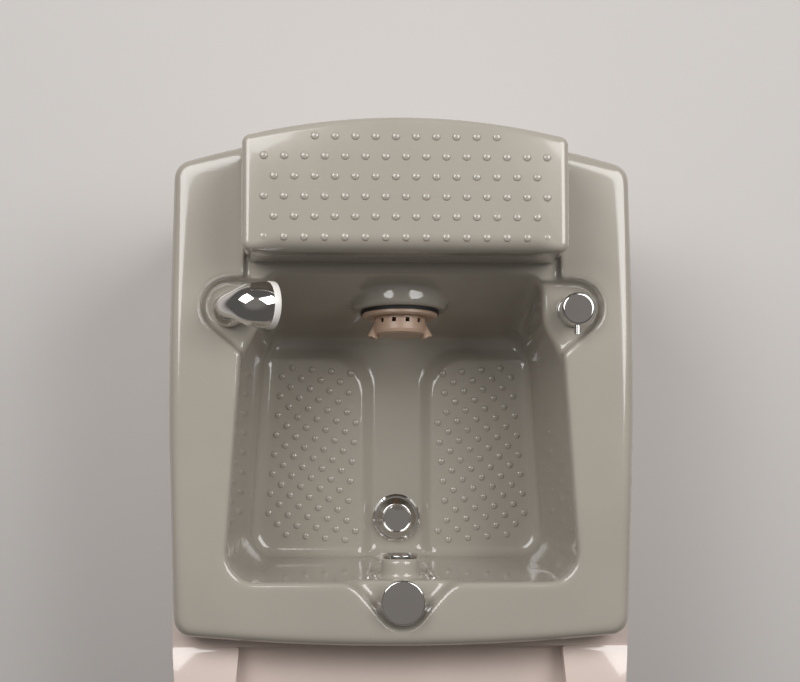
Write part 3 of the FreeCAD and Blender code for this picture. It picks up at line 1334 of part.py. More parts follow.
handle_low = cell.pod_drop + cell.handle_low
handle_top = cell.pod_drop + cell.handle_top
handle_inner = cell.handle_radius - cell.handle_wall
handle_ceiling = handle_top - cell.handle_cap
boss_low = tilt_z + cell.overrun
boss_wide = cell.ball_radius * 1.5
handle_body = turned_body("handle_body", [
    (handle_inner, handle_low), (cell.handle_radius, handle_low),
    (cell.handle_radius, handle_top), (ZERO, handle_top), (ZERO, boss_low),
    (boss_wide, boss_low), (boss_wide, handle_ceiling), (handle_inner, handle_ceiling)],
    rounds=[(cell.handle_radius, handle_top, cell.handle_wall * 0.8),
            (cell.handle_radius, handle_low, cell.handle_wall / 5)])
set_base(handle_body, mixer_at)
pin_z = bound_pod + handle_top - cell.pin_drop
handle_pin = round_bar("handle_pin", cell.pin_radius, cell.pin_reach + cell.handle_wall / 2,
                       (cell.pod_centre_x, bound_pod_y - cell.handle_radius
                        + cell.handle_wall / 2, pin_z), BACK)
handle_solid = joined("handle_solid", [handle_body, handle_pin])
handle_socket = document.addObject("Part::Sphere", "handle_socket")
handle_socket.setExpression("Radius", (cell.ball_radius + cell.seat_gap).formula)
set_base(handle_socket, (cell.pod_centre_x, bound_pod_y, bound_pod + tilt_z))
keep(cut("mixer_handle", handle_solid, handle_socket), "mixer_handle")

# Hand sprayer on the left pod.

sprayer_at = (-cell.pod_centre_x, bound_pod_y, bound_pod)
tail_bore = cell.sprayer_tail + cell.running_fit
socket_top = cell.pod_drop + cell.socket_rise
socket_low = -cell.sprayer_tail_length * 0.8
turned("spray_socket", [
    (tail_bore, socket_low), (cell.socket_shank, socket_low), (cell.socket_shank, ZERO),
    (cell.socket_radius, ZERO), (cell.socket_radius, cell.socket_rise),
    (cell.sprayer_neck + cell.overrun, socket_top), (tail_bore, socket_top)], sprayer_at)
locknut("socket_locknut", cell.socket_shank + cell.running_fit, sprayer_at, washer_top)

neck_foot = mm.pod_drop + mm.socket_rise + mm.seat_gap
bend_foot = neck_foot + mm.sprayer_neck_height
yaw = math.radians(-mm.sprayer_yaw)
across = Vector(math.cos(yaw), math.sin(yaw), 0)


def bend_point(degrees):
    """Place and direction on the sprayer's bend."""
    lean = math.radians(degrees)
    out = mm.sprayer_bend * (1 - math.cos(lean))
    rise = bend_foot + mm.sprayer_bend * math.sin(lean)
    return across * out + UP * rise, across * math.sin(lean) + UP * math.cos(lean)


def ring_wire(centre, direction, radius):
    return Part.Wire(Part.makeCircle(radius, centre, direction))


full_turn = 90 + mm.sprayer_down
rim_centre, sprayer_aim = bend_point(full_turn)
growth_to_mouth = mm.sprayer_mouth - mm.sprayer_neck
rings = [ring_wire(UP * neck_foot, UP, mm.sprayer_neck),
         ring_wire(UP * bend_foot, UP, mm.sprayer_neck)]
for share, swell in ((0.3, 0.09), (0.55, 0.38), (0.8, 0.75), (1.0, 0.947)):
    centre, aim = bend_point(full_turn * share)
    rings.append(ring_wire(centre, aim, mm.sprayer_neck + growth_to_mouth * swell))
ring_start = rim_centre + sprayer_aim * (mm.sprayer_reach - mm.sprayer_rim_length)
rings.append(ring_wire(ring_start, sprayer_aim, mm.sprayer_mouth))
bell = Part.makeLoft(rings, True, False)
mouth_ring = Part.makeCylinder(mm.sprayer_rim, mm.sprayer_rim_length, ring_start, sprayer_aim)
mouth_ring = mouth_ring.makeFillet(mm.overrun / 2, mouth_ring.Edges)
tail = Part.makeCylinder(mm.sprayer_tail, mm.sprayer_tail_length + mm.overrun * 2,
                         UP * (neck_foot - mm.sprayer_tail_length))
mouth_centre = ring_start + sprayer_aim * mm.sprayer_rim_length
face_seat = Part.makeCylinder(mm.face_radius + mm.running_fit, mm.sprayer_rim_length,
                              mouth_centre - sprayer_aim * (mm.face_height + mm.overrun),
                              sprayer_aim)
sprayer = bell.fuse([mouth_ring, tail]).cut(face_seat)
sprayer_place = Placement(Vector(-mm.pod_centre_x, pod_y, pod_z), Rotation())
print("sprayer", sprayer.isValid(), len(sprayer.Solids), round(sprayer.Volume))
code_piece("hand_sprayer", sprayer.Solids[0], sprayer_place)
face = Part.makeCylinder(mm.face_radius, mm.face_height,
                         mouth_centre - sprayer_aim * (mm.face_height + mm.overrun), sprayer_aim)
code_piece("spray_face", face, sprayer_place)

hose_top = -cell.sprayer_tail_length + cell.pod_drop + cell.socket_rise + cell.seat_gap
hose_low = cell.pod_drop - cell.hose_drop
turned("spray_hose", [(ZERO, hose_low), (cell.hose_radius, hose_low),
                      (cell.hose_radius, hose_top), (ZERO, hose_top)], sprayer_at)

# Base shell with its collar, wings and centre panel.

wing_front_y = near_y - mm.wing_gap
base_front = grown(rim, -mm.base_inset)


def base_outline():
    """Outline of the base's lower body: it follows the rim and narrows towards the seat."""
    right = [
        (base_rear_half, rear_y, mm.base_rear_corner),
        (mm.base_waist_half, near_y, mm.base_waist_round),
        base_front[1],
        (base_front[2][0], base_front[2][1], mm.base_corner),
    ]
    left = [(-x, y, radius) for x, y, radius in reversed(right)]
    return right + [base_front[3]] + left


base_rear_half = mm.base_waist_half - mm.base_taper
base_plan = base_outline()
inner_plan = grown(base_plan, -mm.shell_wall)
panel_z = mm.deck_height - mm.panel_drop
wing_top = mm.deck_height - mm.wing_drop
wing_start_half = mm.base_waist_half - mm.wing_start_width
wing_end_half = base_rear_half - mm.wing_end_width


def behind(y, low, high):
    """Everything on the seat's side of a line across the module, between two heights."""
    return box_between((-whole_length, -whole_length, low), (whole_length, y, high))


def wing_form(side, inset):
    """One side wing under its arched top."""
    span = [
        (side * (wing_start_half + inset), wing_front_y - inset, mm.overrun * 2),
        (side * whole_length, wing_front_y - inset, mm.overrun * 2),
        (side * whole_length, rear_y - mm.overrun, mm.overrun * 2),
        (side * (wing_end_half + inset), rear_y - mm.overrun, mm.overrun * 2),
    ]
    if side > 0:
        span.reverse()
    plan = prism(span, panel_z - mm.wing_drop, wing_top)
    ends = (wing_front_y, rear_y)
    low = panel_z - 2 * mm.wing_drop
    end_z = wing_top - mm.wing_arch - inset
    corners = [Vector(-whole_length, y, z) for y, z in
               ((ends[0], low), (ends[0], end_z), ((ends[0] + ends[1]) / 2, wing_top - inset),
                (ends[1], end_z), (ends[1], low))]
    profile = Part.Wire([
        Part.LineSegment(corners[0], corners[1]).toShape(),
        Part.Arc(corners[1], corners[2], corners[3]).toShape(),
        Part.LineSegment(corners[3], corners[4]).toShape(),
        Part.LineSegment(corners[4], corners[0]).toShape()])
    arch = Part.Face(profile).extrude(Vector(2 * whole_length, 0, 0))
    return plan.common(arch).common(prism(base_plan if inset == 0 else inner_plan, 0, wing_top))


def body_form(plan, inset, low):
    """Lower body: shoulder height round the tub, panel height behind it."""
    front = prism(plan, low, shoulder_z - inset).cut(
        behind(wing_front_y + inset, 0, mm.deck_height))
    rear = prism(plan, low, panel_z - inset)
    return front.fuse([rear, wing_form(1, inset), wing_form(-1, inset)])


def toe_form(depth, height):
    return box_between((-whole_length, far_y - depth, 0),
                       (whole_length, far_y + mm.overrun, height))


wall = mm.shell_wall
collar_plan = grown(rim, -mm.laminate - mm.collar_gap)
collar = prism(collar_plan, shoulder_z - wall, collar_z)
base_outer = body_form(base_plan, 0, mm.foot_clearance).cut(
    toe_form(mm.toe_depth, mm.toe_height)).fuse(collar)
base_inner = body_form(inner_plan, wall, 0).cut(toe_form(mm.toe_depth + wall, mm.toe_height + wall))
collar_inner = prism(grown(collar_plan, -wall), shoulder_z - 2 * wall, collar_z - wall)
lip_plan = grown(collar_plan, -mm.collar_lip)
lip_opening = prism(lip_plan, collar_z - 2 * wall, collar_z + mm.overrun)
clear = mm.laminate + mm.fitting_gap
sunk_forms = [pod_hollow(1, clear), pod_hollow(-1, clear), recess_hollow(clear)]
for form in sunk_forms:
    form.translate(Vector(0, 0, -mm.laminate))
base_shape = base_outer.cut(base_inner).cut(collar_inner).cut(lip_opening)
for form in sunk_forms:
    base_shape = base_shape.cut(form)
base_holes = []
for x in (-mm.seat_bolt_half, mm.seat_bolt_half):
    for z in (mm.seat_bolt_low, mm.seat_bolt_low + mm.seat_bolt_rise):
        base_holes.append(Part.makeCylinder(mm.seat_bolt_radius, 3 * wall,
                                            Vector(x, rear_y - wall, z), Vector(0, 1, 0)))
window_low = (-mm.rear_window_half, rear_y - wall, mm.rear_window_low)
window_high = (mm.rear_window_half, rear_y + 2 * wall, mm.rear_window_low + mm.rear_window_height)
base_holes.append(box_between(window_low, window_high))

service_high = mm.service_low + mm.service_height
lap = mm.service_overlap
base_holes.append(box_between((-mm.service_half + lap, far_y - mm.toe_depth, mm.service_low + lap),
                              (mm.service_half - lap, far_y, service_high - lap)))
service_reach = box_between((-mm.service_half, 0, mm.service_low),
                            (mm.service_half, far_y, service_high))
service_skin = prism(grown(base_plan, mm.service_thick), 0, shoulder_z).cut(
    prism(base_plan, 0, shoulder_z)).common(service_reach)
front_radius = mm.far_bow_radius - mm.base_inset
front_crown = far_y - mm.base_inset
screws = []
screw_holes = []
skin_radius = front_radius + mm.service_thick
for x in (-mm.service_half + mm.screw_inset, mm.service_half - mm.screw_inset):
    for z in (mm.service_low + mm.screw_inset, service_high - mm.screw_inset):
        swing = math.asin(x / skin_radius)
        outward = Vector(math.sin(swing), math.cos(swing), 0)
        seat = Vector(0, front_crown - front_radius, z) + outward * skin_radius
        shank_length = mm.service_thick + 2 * wall
        shank = Part.makeCylinder(mm.screw_radius, shank_length, seat, -outward)
        head = Part.makeCylinder(mm.screw_head, mm.screw_head_height, seat, outward)
        screws.append(head.fuse(shank))
        screw_holes.append(Part.makeCylinder(mm.screw_radius + mm.running_fit, 4 * wall,
                                             seat + outward * wall, -outward))
base_shape = base_shape.cut(Part.makeCompound(base_holes + screw_holes))
print("base", base_shape.isValid(), len(base_shape.Solids), round(base_shape.Volume))
code_piece("base_shell", base_shape.Solids[0] if len(base_shape.Solids) == 1 else base_shape)
service_skin = service_skin.cut(Part.makeCompound(screw_holes))
code_piece("service_panel", service_skin.Solids[0])
code_piece("panel_screws", Part.makeCompound(screws))

gasket_plan = grown(collar_plan, -mm.overrun)
gasket = prism(gasket_plan, collar_z, core_z).cut(
    prism(grown(gasket_plan, -mm.gasket_width), 0, mm.deck_height))
for form in sunk_forms:
    gasket = gasket.cut(form)
code_piece("rim_gasket", gasket)
core_plan = grown(rim, -mm.rim_round - mm.fitting_gap)
deck_core = prism(core_plan, core_z, deck_under_z).cut(outer_forms(mm.laminate + mm.fitting_gap))
print("core", deck_core.isValid(), len(deck_core.Solids), "gasket", len(gasket.Solids))
code_piece("deck_core", deck_core)

# Frame.

rail_start = -bound_far + cell.rail_rear_gap
rail_end = bound_far - cell.rail_front_setback
rail_length = rail_end - rail_start
rail_centre = (cell.base_waist_half - cell.base_taper - cell.shell_wall - cell.rail_gap
               - cell.tube / 2)
rail_inner_x = rail_centre - cell.tube / 2
tube_wall = cell.overrun * 1.25
foot_ys = [rail_start + cell.foot_inset, rail_end - cell.foot_inset]


def square_tube(name, corner, sides, axis):
    """Square tube: a box with a hole along one axis."""
    outer = block(f"{name}_outer", sides, corner)
    inner_sides = [side - tube_wall * 2 for side in sides]
    inner_corner = [place + tube_wall for place in corner]
    inner_sides[axis] = sides[axis] + cell.overrun * 2
    inner_corner[axis] = corner[axis] - cell.overrun
    return cut(name, outer, block(f"{name}_inner", inner_sides, inner_corner))


rails = []
feet = []
pads = []
for word, side in (("left", -1), ("right", 1)):
    low_x = rail_centre * side - cell.tube / 2
    rail = square_tube(f"rail_{word}", (low_x, rail_start, cell.rail_low),
                       (cell.tube, rail_length, cell.tube), 1)
    stud_holes = []
    for spot, foot_y in zip(("rear", "front"), foot_ys):
        at = (rail_centre * side, foot_y)
        stud_holes.append(round_bar(f"stud_hole_{word}_{spot}",
                                    cell.foot_stud + cell.running_fit, cell.tube / 2,
                                    (at[0], at[1], cell.rail_low - cell.overrun)))
        foot = turned_body(f"foot_{word}_{spot}", [
            (ZERO, ZERO), (cell.foot_radius, ZERO), (cell.foot_radius, cell.foot_plate),
            (cell.foot_stud * 1.8, cell.foot_plate * 2), (cell.foot_stud, cell.foot_plate * 2),
            (cell.foot_stud, cell.rail_low + cell.tube / 2),
            (ZERO, cell.rail_low + cell.tube / 2)])
        set_base(foot, (at[0], at[1], cell.foot_pad))
        feet.append(foot)
        pad = turned_body(f"pad_{word}_{spot}", [
            (ZERO, ZERO), (cell.foot_radius, ZERO), (cell.foot_radius, cell.foot_pad),
            (ZERO, cell.foot_pad)])
        set_base(pad, (at[0], at[1], ZERO))
        pads.append(pad)
    rails.append(cut(f"rail_drilled_{word}", rail, joined(f"stud_holes_{word}", stud_holes)))
grouped("base_rails", rails)
grouped("levelling_feet", feet)
grouped("foot_pads", pads)
cross_length = rail_inner_x * 2
cross_starts = [rail_start, bound_near - cell.cross_mid_setback - cell.tube,
                rail_end - cell.tube]
crosses = []
for number, start in enumerate(cross_starts):
    crosses.append(square_tube(f"cross_{number}", (-rail_inner_x, start, cell.rail_low),
                               (cross_length, cell.tube, cell.tube), 0))
grouped("cross_rails", crosses)
posts_up = []
upright_low = cell.rail_low + cell.tube
upright_high = (cell.deck_height - cell.ledge_drop - cell.laminate - cell.gasket_height
                - cell.shell_wall)
for word, side in (("left", -1), ("right", 1)):
    low_x = rail_centre * side - cell.tube / 2
    for spot, start in (("near", bound_near + cell.near_post_setback),
                        ("far", rail_end - cell.tube)):
        posts_up.append(square_tube(f"upright_{word}_{spot}", (low_x, start, upright_low),
                                    (cell.tube, cell.tube, upright_high - upright_low), 2))
grouped("uprights", posts_up)

# Connections on a plate behind the seat face.

plate_corner = (-cell.plate_half, plate_y, upright_low)
plate_blank = block("plate_blank", (cell.plate_half * 2, cell.plate_thick, cell.plate_height),
                    plate_corner)
tail_radius = cell.supply_radius + cell.fitting_gap
FORWARD = Vector(0, 1, 0)
plate_hole_start = plate_y - cell.overrun
plate_hole_length = cell.plate_thick + cell.overrun * 2
plate_holes = [
    round_bar("plate_hole_waste", cell.waste_radius + cell.running_fit, plate_hole_length,
              (ZERO, plate_hole_start, cell.waste_height), FORWARD),
    round_bar("plate_hole_hot", tail_radius + cell.running_fit, plate_hole_length,
              (cell.hot_inlet_x, plate_hole_start, cell.inlet_height), FORWARD),
    round_bar("plate_hole_cold", tail_radius + cell.running_fit, plate_hole_length,
              (cell.cold_inlet_x, plate_hole_start, cell.inlet_height), FORWARD),
    round_bar("plate_hole_gland", tail_radius + cell.running_fit, plate_hole_length,
              (-cell.gland_x, plate_hole_start, cell.inlet_height), FORWARD)]
keep(cut("connection_plate", plate_blank, joined("plate_holes", plate_holes)),
     "connection_plate")


def connector(label, x, thread_radius, thread_length, bore):
    """Screwed fitting through the plate: thread outside, hexagon on the plate, tail inside."""
    hexagon = document.addObject("Part::Prism", f"{label}_hexagon")
    hexagon.Polygon = 6
    hexagon.setExpression("Circumradius", cell.inlet_hex.formula)
    hexagon.setExpression("Height", cell.inlet_hex_height.formula)
    hexagon.Placement = Placement(Vector(), Rotation(UP, BACK))
    set_base(hexagon, (x, plate_y, cell.inlet_height))
    thread = round_bar(f"{label}_thread", thread_radius,
                       cell.inlet_hex_height + thread_length, (x, plate_y, cell.inlet_height),
                       BACK)
    tail_length = cell.plate_thick + cell.socket_length + cell.overrun
    tail = round_bar(f"{label}_tail", tail_radius, tail_length,
                     (x, plate_y - cell.overrun, cell.inlet_height), FORWARD)
    solid = joined(f"{label}_solid", [hexagon, thread, tail])
    run = thread_length + cell.inlet_hex_height + cell.plate_thick + cell.socket_length
    hole_through = round_bar(f"{label}_bore", bore, run + cell.overrun * 2,
                             (x, plate_y - cell.inlet_hex_height - thread_length - cell.overrun,
                              cell.inlet_height), FORWARD)
    keep(cut(label, solid, hole_through), label)


connector("hot_inlet", cell.hot_inlet_x, cell.inlet_radius, cell.inlet_length,
          cell.supply_radius - cell.overrun / 2)
connector("cold_inlet", cell.cold_inlet_x, cell.inlet_radius, cell.inlet_length,
          cell.supply_radius - cell.overrun / 2)
connector("cable_gland", -cell.gland_x, cell.gland_radius, cell.inlet_length / 2, cell.gland_bore)

box_y = bound_far - cell.box_setback - cell.box_length
keep(block("control_box", (cell.box_width, cell.box_length, cell.box_height),
           (-rail_centre - cell.box_width / 2, box_y, upright_low)), "control_box")

# Hoses and leads inside the base.  Way points are shares of the rim's half width, of half the
# module's length and of the deck's height.

def way(*shares):
    return [Vector(across * mm.rim_mid_half, along * far_y, up * mm.deck_height)
            for across, along, up in shares]


fitting_y = -far_y + mm.rail_rear_gap + (mm.tube + mm.plate_thick) / 2 + mm.socket_length
valve_low_z = (pod_z - mm.laminate - mm.nut_height - mm.fitting_gap - mm.mixer_body_height)
stub_z = valve_low_z - mm.socket_length
outlet_y = pod_y + mm.mixer_body_radius + mm.socket_length
straight = mm.supply_radius * 11
cold_end = Vector(mm.pod_centre_x + mm.mixer_bore, pod_y, stub_z)
hose("cold_hose",
     [Vector(mm.cold_inlet_x, fitting_y, mm.inlet_height),
      Vector(mm.cold_inlet_x, fitting_y + straight, mm.inlet_height)]
     + way((0.551, -0.533, 0.27), (0.72, -0.322, 0.258),
           (0.771, -0.023, 0.253), (0.778, 0.253, 0.265), (0.781, 0.425, 0.375))
     + [cold_end - UP * straight, cold_end], mm.supply_radius)
hot_end = Vector(mm.pod_centre_x - mm.mixer_bore, pod_y, stub_z)
hose("hot_hose",
     [Vector(mm.hot_inlet_x, fitting_y, mm.inlet_height),
      Vector(mm.hot_inlet_x, fitting_y + straight, mm.inlet_height)]
     + way((0.357, -0.494, 0.265), (0.6, -0.299, 0.253),
           (0.668, -0.011, 0.25), (0.677, 0.264, 0.263), (0.69, 0.425, 0.375))
     + [hot_end - UP * straight, hot_end], mm.supply_radius)
loop_start = way((-0.775, 0.667, 0.585))
mixed_start = Vector(mm.pod_centre_x, outlet_y, valve_low_z + mm.mixer_body_height / 2)
hose("mixed_hose",
     [mixed_start, mixed_start + Vector(0, straight * 0.4, 0)]
     + way((0.648, 0.69, 0.856), (0.454, 0.69, 0.86), (0.2, 0.69, 0.863),
           (-0.032, 0.69, 0.86), (-0.421, 0.671, 0.853), (-0.687, 0.664, 0.812),
           (-0.775, 0.667, 0.675))
     + loop_start, mm.supply_radius)
hose_foot = Vector(-mm.pod_centre_x, pod_y, mm.deck_height - mm.hose_drop)
hose("spray_hose_loop",
     loop_start
     + way((-0.775, 0.667, 0.47), (-0.765, 0.662, 0.355), (-0.755, 0.598, 0.286),
           (-0.742, 0.508, 0.286))
     + [hose_foot - UP * (mm.deck_height - mm.hose_drop) * 0.215, hose_foot],
     mm.hose_radius)
box_middle = -rail_centre.value
lead_z = (mm.rail_low + mm.tube) + mm.box_height * 0.58
box_near = far_y - mm.box_setback - mm.box_length
motor_side = jet_place.multVec(Vector(-mm.motor_radius, 0,
                                      -mm.jet_sleeve_length - mm.fitting_gap - mm.motor_length / 2))
lead_run = mm.cable_radius * 11.5
box_far = Vector(box_middle, box_near + mm.box_length, lead_z)
hose("motor_cable",
     [box_far, box_far + Vector(0, lead_run, 0)]
     + way((-0.729, 0.391, 0.245), (-0.535, 0.54, 0.275), (-0.42, 0.66, 0.45),
           (-0.4, 0.66, 0.64))
     + [motor_side - Vector(lead_run * 1.3, 0, 0), motor_side], mm.cable_radius)
hose("supply_cable",
     [Vector(-mm.gland_x, fitting_y + mm.seat_gap, mm.inlet_height),
      Vector(-mm.gland_x, fitting_y + lead_run, mm.inlet_height)]
     + way((-0.486, -0.583, 0.265), (-0.707, -0.457, 0.26))
     + [Vector(box_middle, box_near - lead_run, lead_z), Vector(box_middle, box_near, lead_z)],
     mm.cable_radius)
lever_end = mm.spigot_radius + mm.drain_body_wall * 4.5
hose("drain_cable",
     [Vector(mm.housing_width / 2, knob_y - mm.housing_back / 3,
             recess_z - mm.laminate - mm.housing_height * 0.7)]
     + way((0.207, -0.448, 0.86), (0.22, -0.446, 0.72), (0.214, -0.451, 0.57),
           (0.235, -0.444, 0.42), (0.262, -0.389, 0.297))
     + [Vector(lever_end + mm.pull_radius * 18, drain_y, mm.waste_height),
        Vector(lever_end, drain_y, mm.waste_height)], mm.pull_radius)

# Every piece is checked, then written out.

document.recompute()
faults = []
for label, item in nodes.items():
    states = [state for state in item.State if state in ("Invalid", "Error")]
    if states or item.Shape.isNull() or not item.Shape.isValid() or not item.Shape.Solids:
        faults.append(label)
print("pieces", len(nodes), "faults", faults)
if faults:
    raise SystemExit(f"faulty pieces: {faults}")
os.makedirs("parts", exist_ok=True)
for label, item in nodes.items():
    item.Shape.exportStep(f"parts/{label}.step")
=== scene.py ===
"""Looks of a pedicure foot bath: moulded tub and base, chrome fittings, footrest and plumbing."""
import math

import bmesh
import bpy
from mathutils import Matrix, Vector


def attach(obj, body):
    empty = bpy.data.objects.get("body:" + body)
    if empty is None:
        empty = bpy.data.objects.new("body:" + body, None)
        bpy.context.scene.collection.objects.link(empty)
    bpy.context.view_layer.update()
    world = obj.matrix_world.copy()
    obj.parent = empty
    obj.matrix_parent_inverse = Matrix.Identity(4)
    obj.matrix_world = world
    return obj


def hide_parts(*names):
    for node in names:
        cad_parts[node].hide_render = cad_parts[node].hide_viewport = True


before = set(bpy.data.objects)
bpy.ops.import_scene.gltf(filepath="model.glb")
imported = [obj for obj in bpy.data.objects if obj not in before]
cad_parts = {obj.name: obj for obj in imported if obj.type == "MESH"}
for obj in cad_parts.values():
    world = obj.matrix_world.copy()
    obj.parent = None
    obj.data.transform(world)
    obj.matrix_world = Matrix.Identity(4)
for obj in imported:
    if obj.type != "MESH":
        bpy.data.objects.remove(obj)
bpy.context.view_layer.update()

# Studio: the camera looks almost straight down on the bath, as in the photograph.
# A plain pale floor and two large soft lamps above the sides, a little beyond the bath.

CAMERA_AT = (-0.0666, 0.0292, 2.100)
CAMERA_LENS, CAMERA_SENSOR = 58.41, 36
CAMERA_TURN = ((0.9993, -0.0035, -0.0367), (0.0008, 0.9974, -0.0723), (0.0369, 0.0722, 0.9967))
FLOOR_COLOUR = (0.62, 0.595, 0.575, 1)
LAMP_AIM = (0, 0.05, 0.3)
LAMPS = {
    "lamp_left": ((-1.1, 1.15, 2.25), (1.5, 1.5), 38),
    "lamp_right": ((1.45, 1.0, 2.3), (1.5, 1.6), 42),
}

camera = bpy.data.objects.new("camera", bpy.data.cameras.new("camera"))
bpy.context.scene.collection.objects.link(camera)
camera.matrix_world = Matrix.Translation(CAMERA_AT) @ Matrix(CAMERA_TURN).to_4x4()
camera.data.lens = CAMERA_LENS
camera.data.sensor_width = CAMERA_SENSOR
bpy.context.scene.camera = camera
bpy.context.scene.view_settings.view_transform = "Standard"

for name, (place, (across, along), power) in LAMPS.items():
    lamp = bpy.data.lights.new(name, "AREA")
    lamp.shape = "RECTANGLE"
    lamp.size = across
    lamp.size_y = along
    lamp.energy = power
    holder = bpy.data.objects.new(name, lamp)
    bpy.context.scene.collection.objects.link(holder)
    holder.location = place
    aim = Vector(LAMP_AIM) - Vector(place)
    holder.rotation_euler = aim.to_track_quat("-Z", "Y").to_euler()


class Value:
    """A socket of one material's node tree, on which sums can be written."""

    def __init__(self, tree, socket=None):
        self.tree = tree
        self.socket = socket

    def node(self, kind, settings=None, sockets=None, output=0):
        """A new node: its settings are set first, then its sockets' values or links."""
        made = self.tree.nodes.new("ShaderNode" + kind)
        for name, setting in (settings or {}).items():
            setattr(made, name, setting)
        for name, given in (sockets or {}).items():
            if isinstance(given, Value):
                self.tree.links.new(given.socket, made.inputs[name])
            else:
                made.inputs[name].default_value = given
        return Value(self.tree, made.outputs[output])

    def maths(self, operation, first, second):
        """A Math node on two values."""
        return self.node("Math", {"operation": operation}, {0: first, 1: second})

    def __add__(self, other):
        return self.maths("ADD", self, other)

    def __mul__(self, other):
        return self.maths("MULTIPLY", self, other)

    __radd__ = __add__
    __rmul__ = __mul__

    def between(self, low, high):
        """0 below one value, 1 above the other, and a smooth step between them."""
        return self.node("MapRange", {"interpolation_type": "SMOOTHSTEP"},
                         {"Value": self, "From Min": low, "From Max": high})

    def blend(self, first, second):
        """First colour where this value is 0, second where it is 1."""
        return self.node("Mix", {"data_type": "RGBA"}, {0: self, 6: first, 7: second}, 2)

    def noise(self, scale, detail=2.0):
        """Noise over the place that this value holds."""
        return self.node("TexNoise", None, {"Vector": self, "Scale": scale, "Detail": detail})

    def bump(self, strength, distance):
        """A normal raised by this value, its distance in metres."""
        return self.node("Bump", None, {"Height": self, "Strength": strength,
                                        "Distance": distance})


def shade(colour, factor):
    """A colour made darker or lighter by a factor."""
    return tuple(min(1.0, part * factor) for part in colour[:3]) + (1,)


def start_finish(name):
    """A new material: itself, its shader's sockets and the place on the object."""
    material = bpy.data.materials.new(name)
    material.use_nodes = True
    sockets = material.node_tree.nodes["Principled BSDF"].inputs
    place = Value(material.node_tree).node("TexCoord", output=3)
    return material, sockets, place


def feed(place, socket, value):
    """Gives a shader socket a number, a colour or the result of nodes."""
    if isinstance(value, Value):
        place.tree.links.new(value.socket, socket)
    else:
        socket.default_value = value


FLOOR_SIZE = 14
floor_finish, floor_sockets, floor_place = start_finish("floor_paint")
feed(floor_place, floor_sockets["Base Color"],
     floor_place.noise(2.0).blend(shade(FLOOR_COLOUR, 0.99), shade(FLOOR_COLOUR, 1.01)))
feed(floor_place, floor_sockets["Roughness"], 0.85)
bpy.ops.mesh.primitive_plane_add(size=FLOOR_SIZE, location=(0, 0, 0))
floor = bpy.context.object
floor.name = "floor"
floor.data.materials.append(floor_finish)

HORIZON = (0.10, 0.096, 0.093, 1)
ZENITH = (0.20, 0.188, 0.178, 1)
SKY_RISE = (0.75, 0.97)
world = bpy.data.worlds.new("studio")
bpy.context.scene.world = world
world.use_nodes = True
sky = Value(world.node_tree)
height = sky.node("SeparateXYZ", None, {0: sky.node("TexCoord")}, 2)
sky_colour = height.between(*SKY_RISE).blend(HORIZON, ZENITH)
background = world.node_tree.nodes["Background"]
world.node_tree.links.new(sky_colour.socket, background.inputs["Color"])
background.inputs["Strength"].default_value = 1.0

# Tub: one deep glass-fibre moulding in warm grey gelcoat, with the deck, the well, two foot
# beds, the centre channel and the overflow boss in one skin. It drops into the base from above.
# The solid's skin is remeshed and smoothed, thinned where it is flat, and given its bumps.

TUB_GREY = (0.390, 0.357, 0.306, 1)
SKIN_GRID = 0.0036
SKIN_ROUNDS, WALL_ROUNDS = 12, 30
WALL_SIDE, WALL_ENDS, WALL_HEIGHTS = 0.240, (-0.176, 0.250), (0.182, 0.380)
JET_SPOT, JET_REACH, JET_FROM = (0, 0.285), 0.070, 0.15
OVERFLOW_HALF, OVERFLOW_FROM = 0.075, -0.09
FLAT_TURN = math.radians(0.6)
TUB_FACES = 76000
BUMP_SIDES, BUMP_RINGS = 14, 8
BED_Z = 0.165
BED_OUTLINE = ((0.0513, -0.135), (0.201, -0.135), (0.183, 0.141), (0.0513, 0.141))
BED_INSET, BED_CORNER = 0.0084, 0.036
BED_BUMP = (0.0052, 0.0024)
BED_FIRST_ROW = 0.0096
BED_ROWS, BED_COLUMNS = 19, 7
BED_PITCH = (0.0289, 0.01445)
BED_LEAN = math.radians(5.2)


def only(piece):
    """Selects one piece and nothing else."""
    bpy.ops.object.select_all(action="DESELECT")
    piece.select_set(True)
    bpy.context.view_layer.objects.active = piece


def merged_copy(node, name):
    """A new piece with the shape of a node, its loose triangles joined."""
    piece = bpy.data.objects.new(name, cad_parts[node].data.copy())
    bpy.context.scene.collection.objects.link(piece)
    piece.data.materials.clear()
    only(piece)
    bpy.ops.object.mode_set(mode="EDIT")
    bpy.ops.mesh.select_all(action="SELECT")
    bpy.ops.mesh.remove_doubles(threshold=0.00001)
    bpy.ops.mesh.mark_sharp(clear=True)
    bpy.ops.mesh.customdata_custom_splitnormals_clear()
    bpy.ops.object.mode_set(mode="OBJECT")
    return piece


def apply_modifier(piece, kind, **settings):
    """Adds a modifier with these settings and applies it."""
    only(piece)
    modifier = piece.modifiers.new(kind.lower(), kind)
    for name, setting in settings.items():
        setattr(modifier, name, setting)
    bpy.ops.object.modifier_apply(modifier=modifier.name)


def add_bumps(piece, spots, radius, rise):
    """Sets one small dome on each spot of a piece: modelled once, copied, then joined to it."""
    bpy.ops.object.select_all(action="DESELECT")
    bpy.ops.mesh.primitive_uv_sphere_add(segments=BUMP_SIDES, ring_count=BUMP_RINGS, radius=1)
    dome = bpy.context.object
    dome.data.transform(Matrix.Diagonal((radius, radius, rise, 1)))
    copies = []
    for x, y, z in spots:
        copy = bpy.data.objects.new("bump", dome.data.copy())
        bpy.context.scene.collection.objects.link(copy)
        copy.data.transform(Matrix.Translation((x, y, z)))
        copies.append(copy)
    bpy.data.objects.remove(dome)
    only(piece)
    for copy in copies:
        copy.select_set(True)
    bpy.ops.object.join()


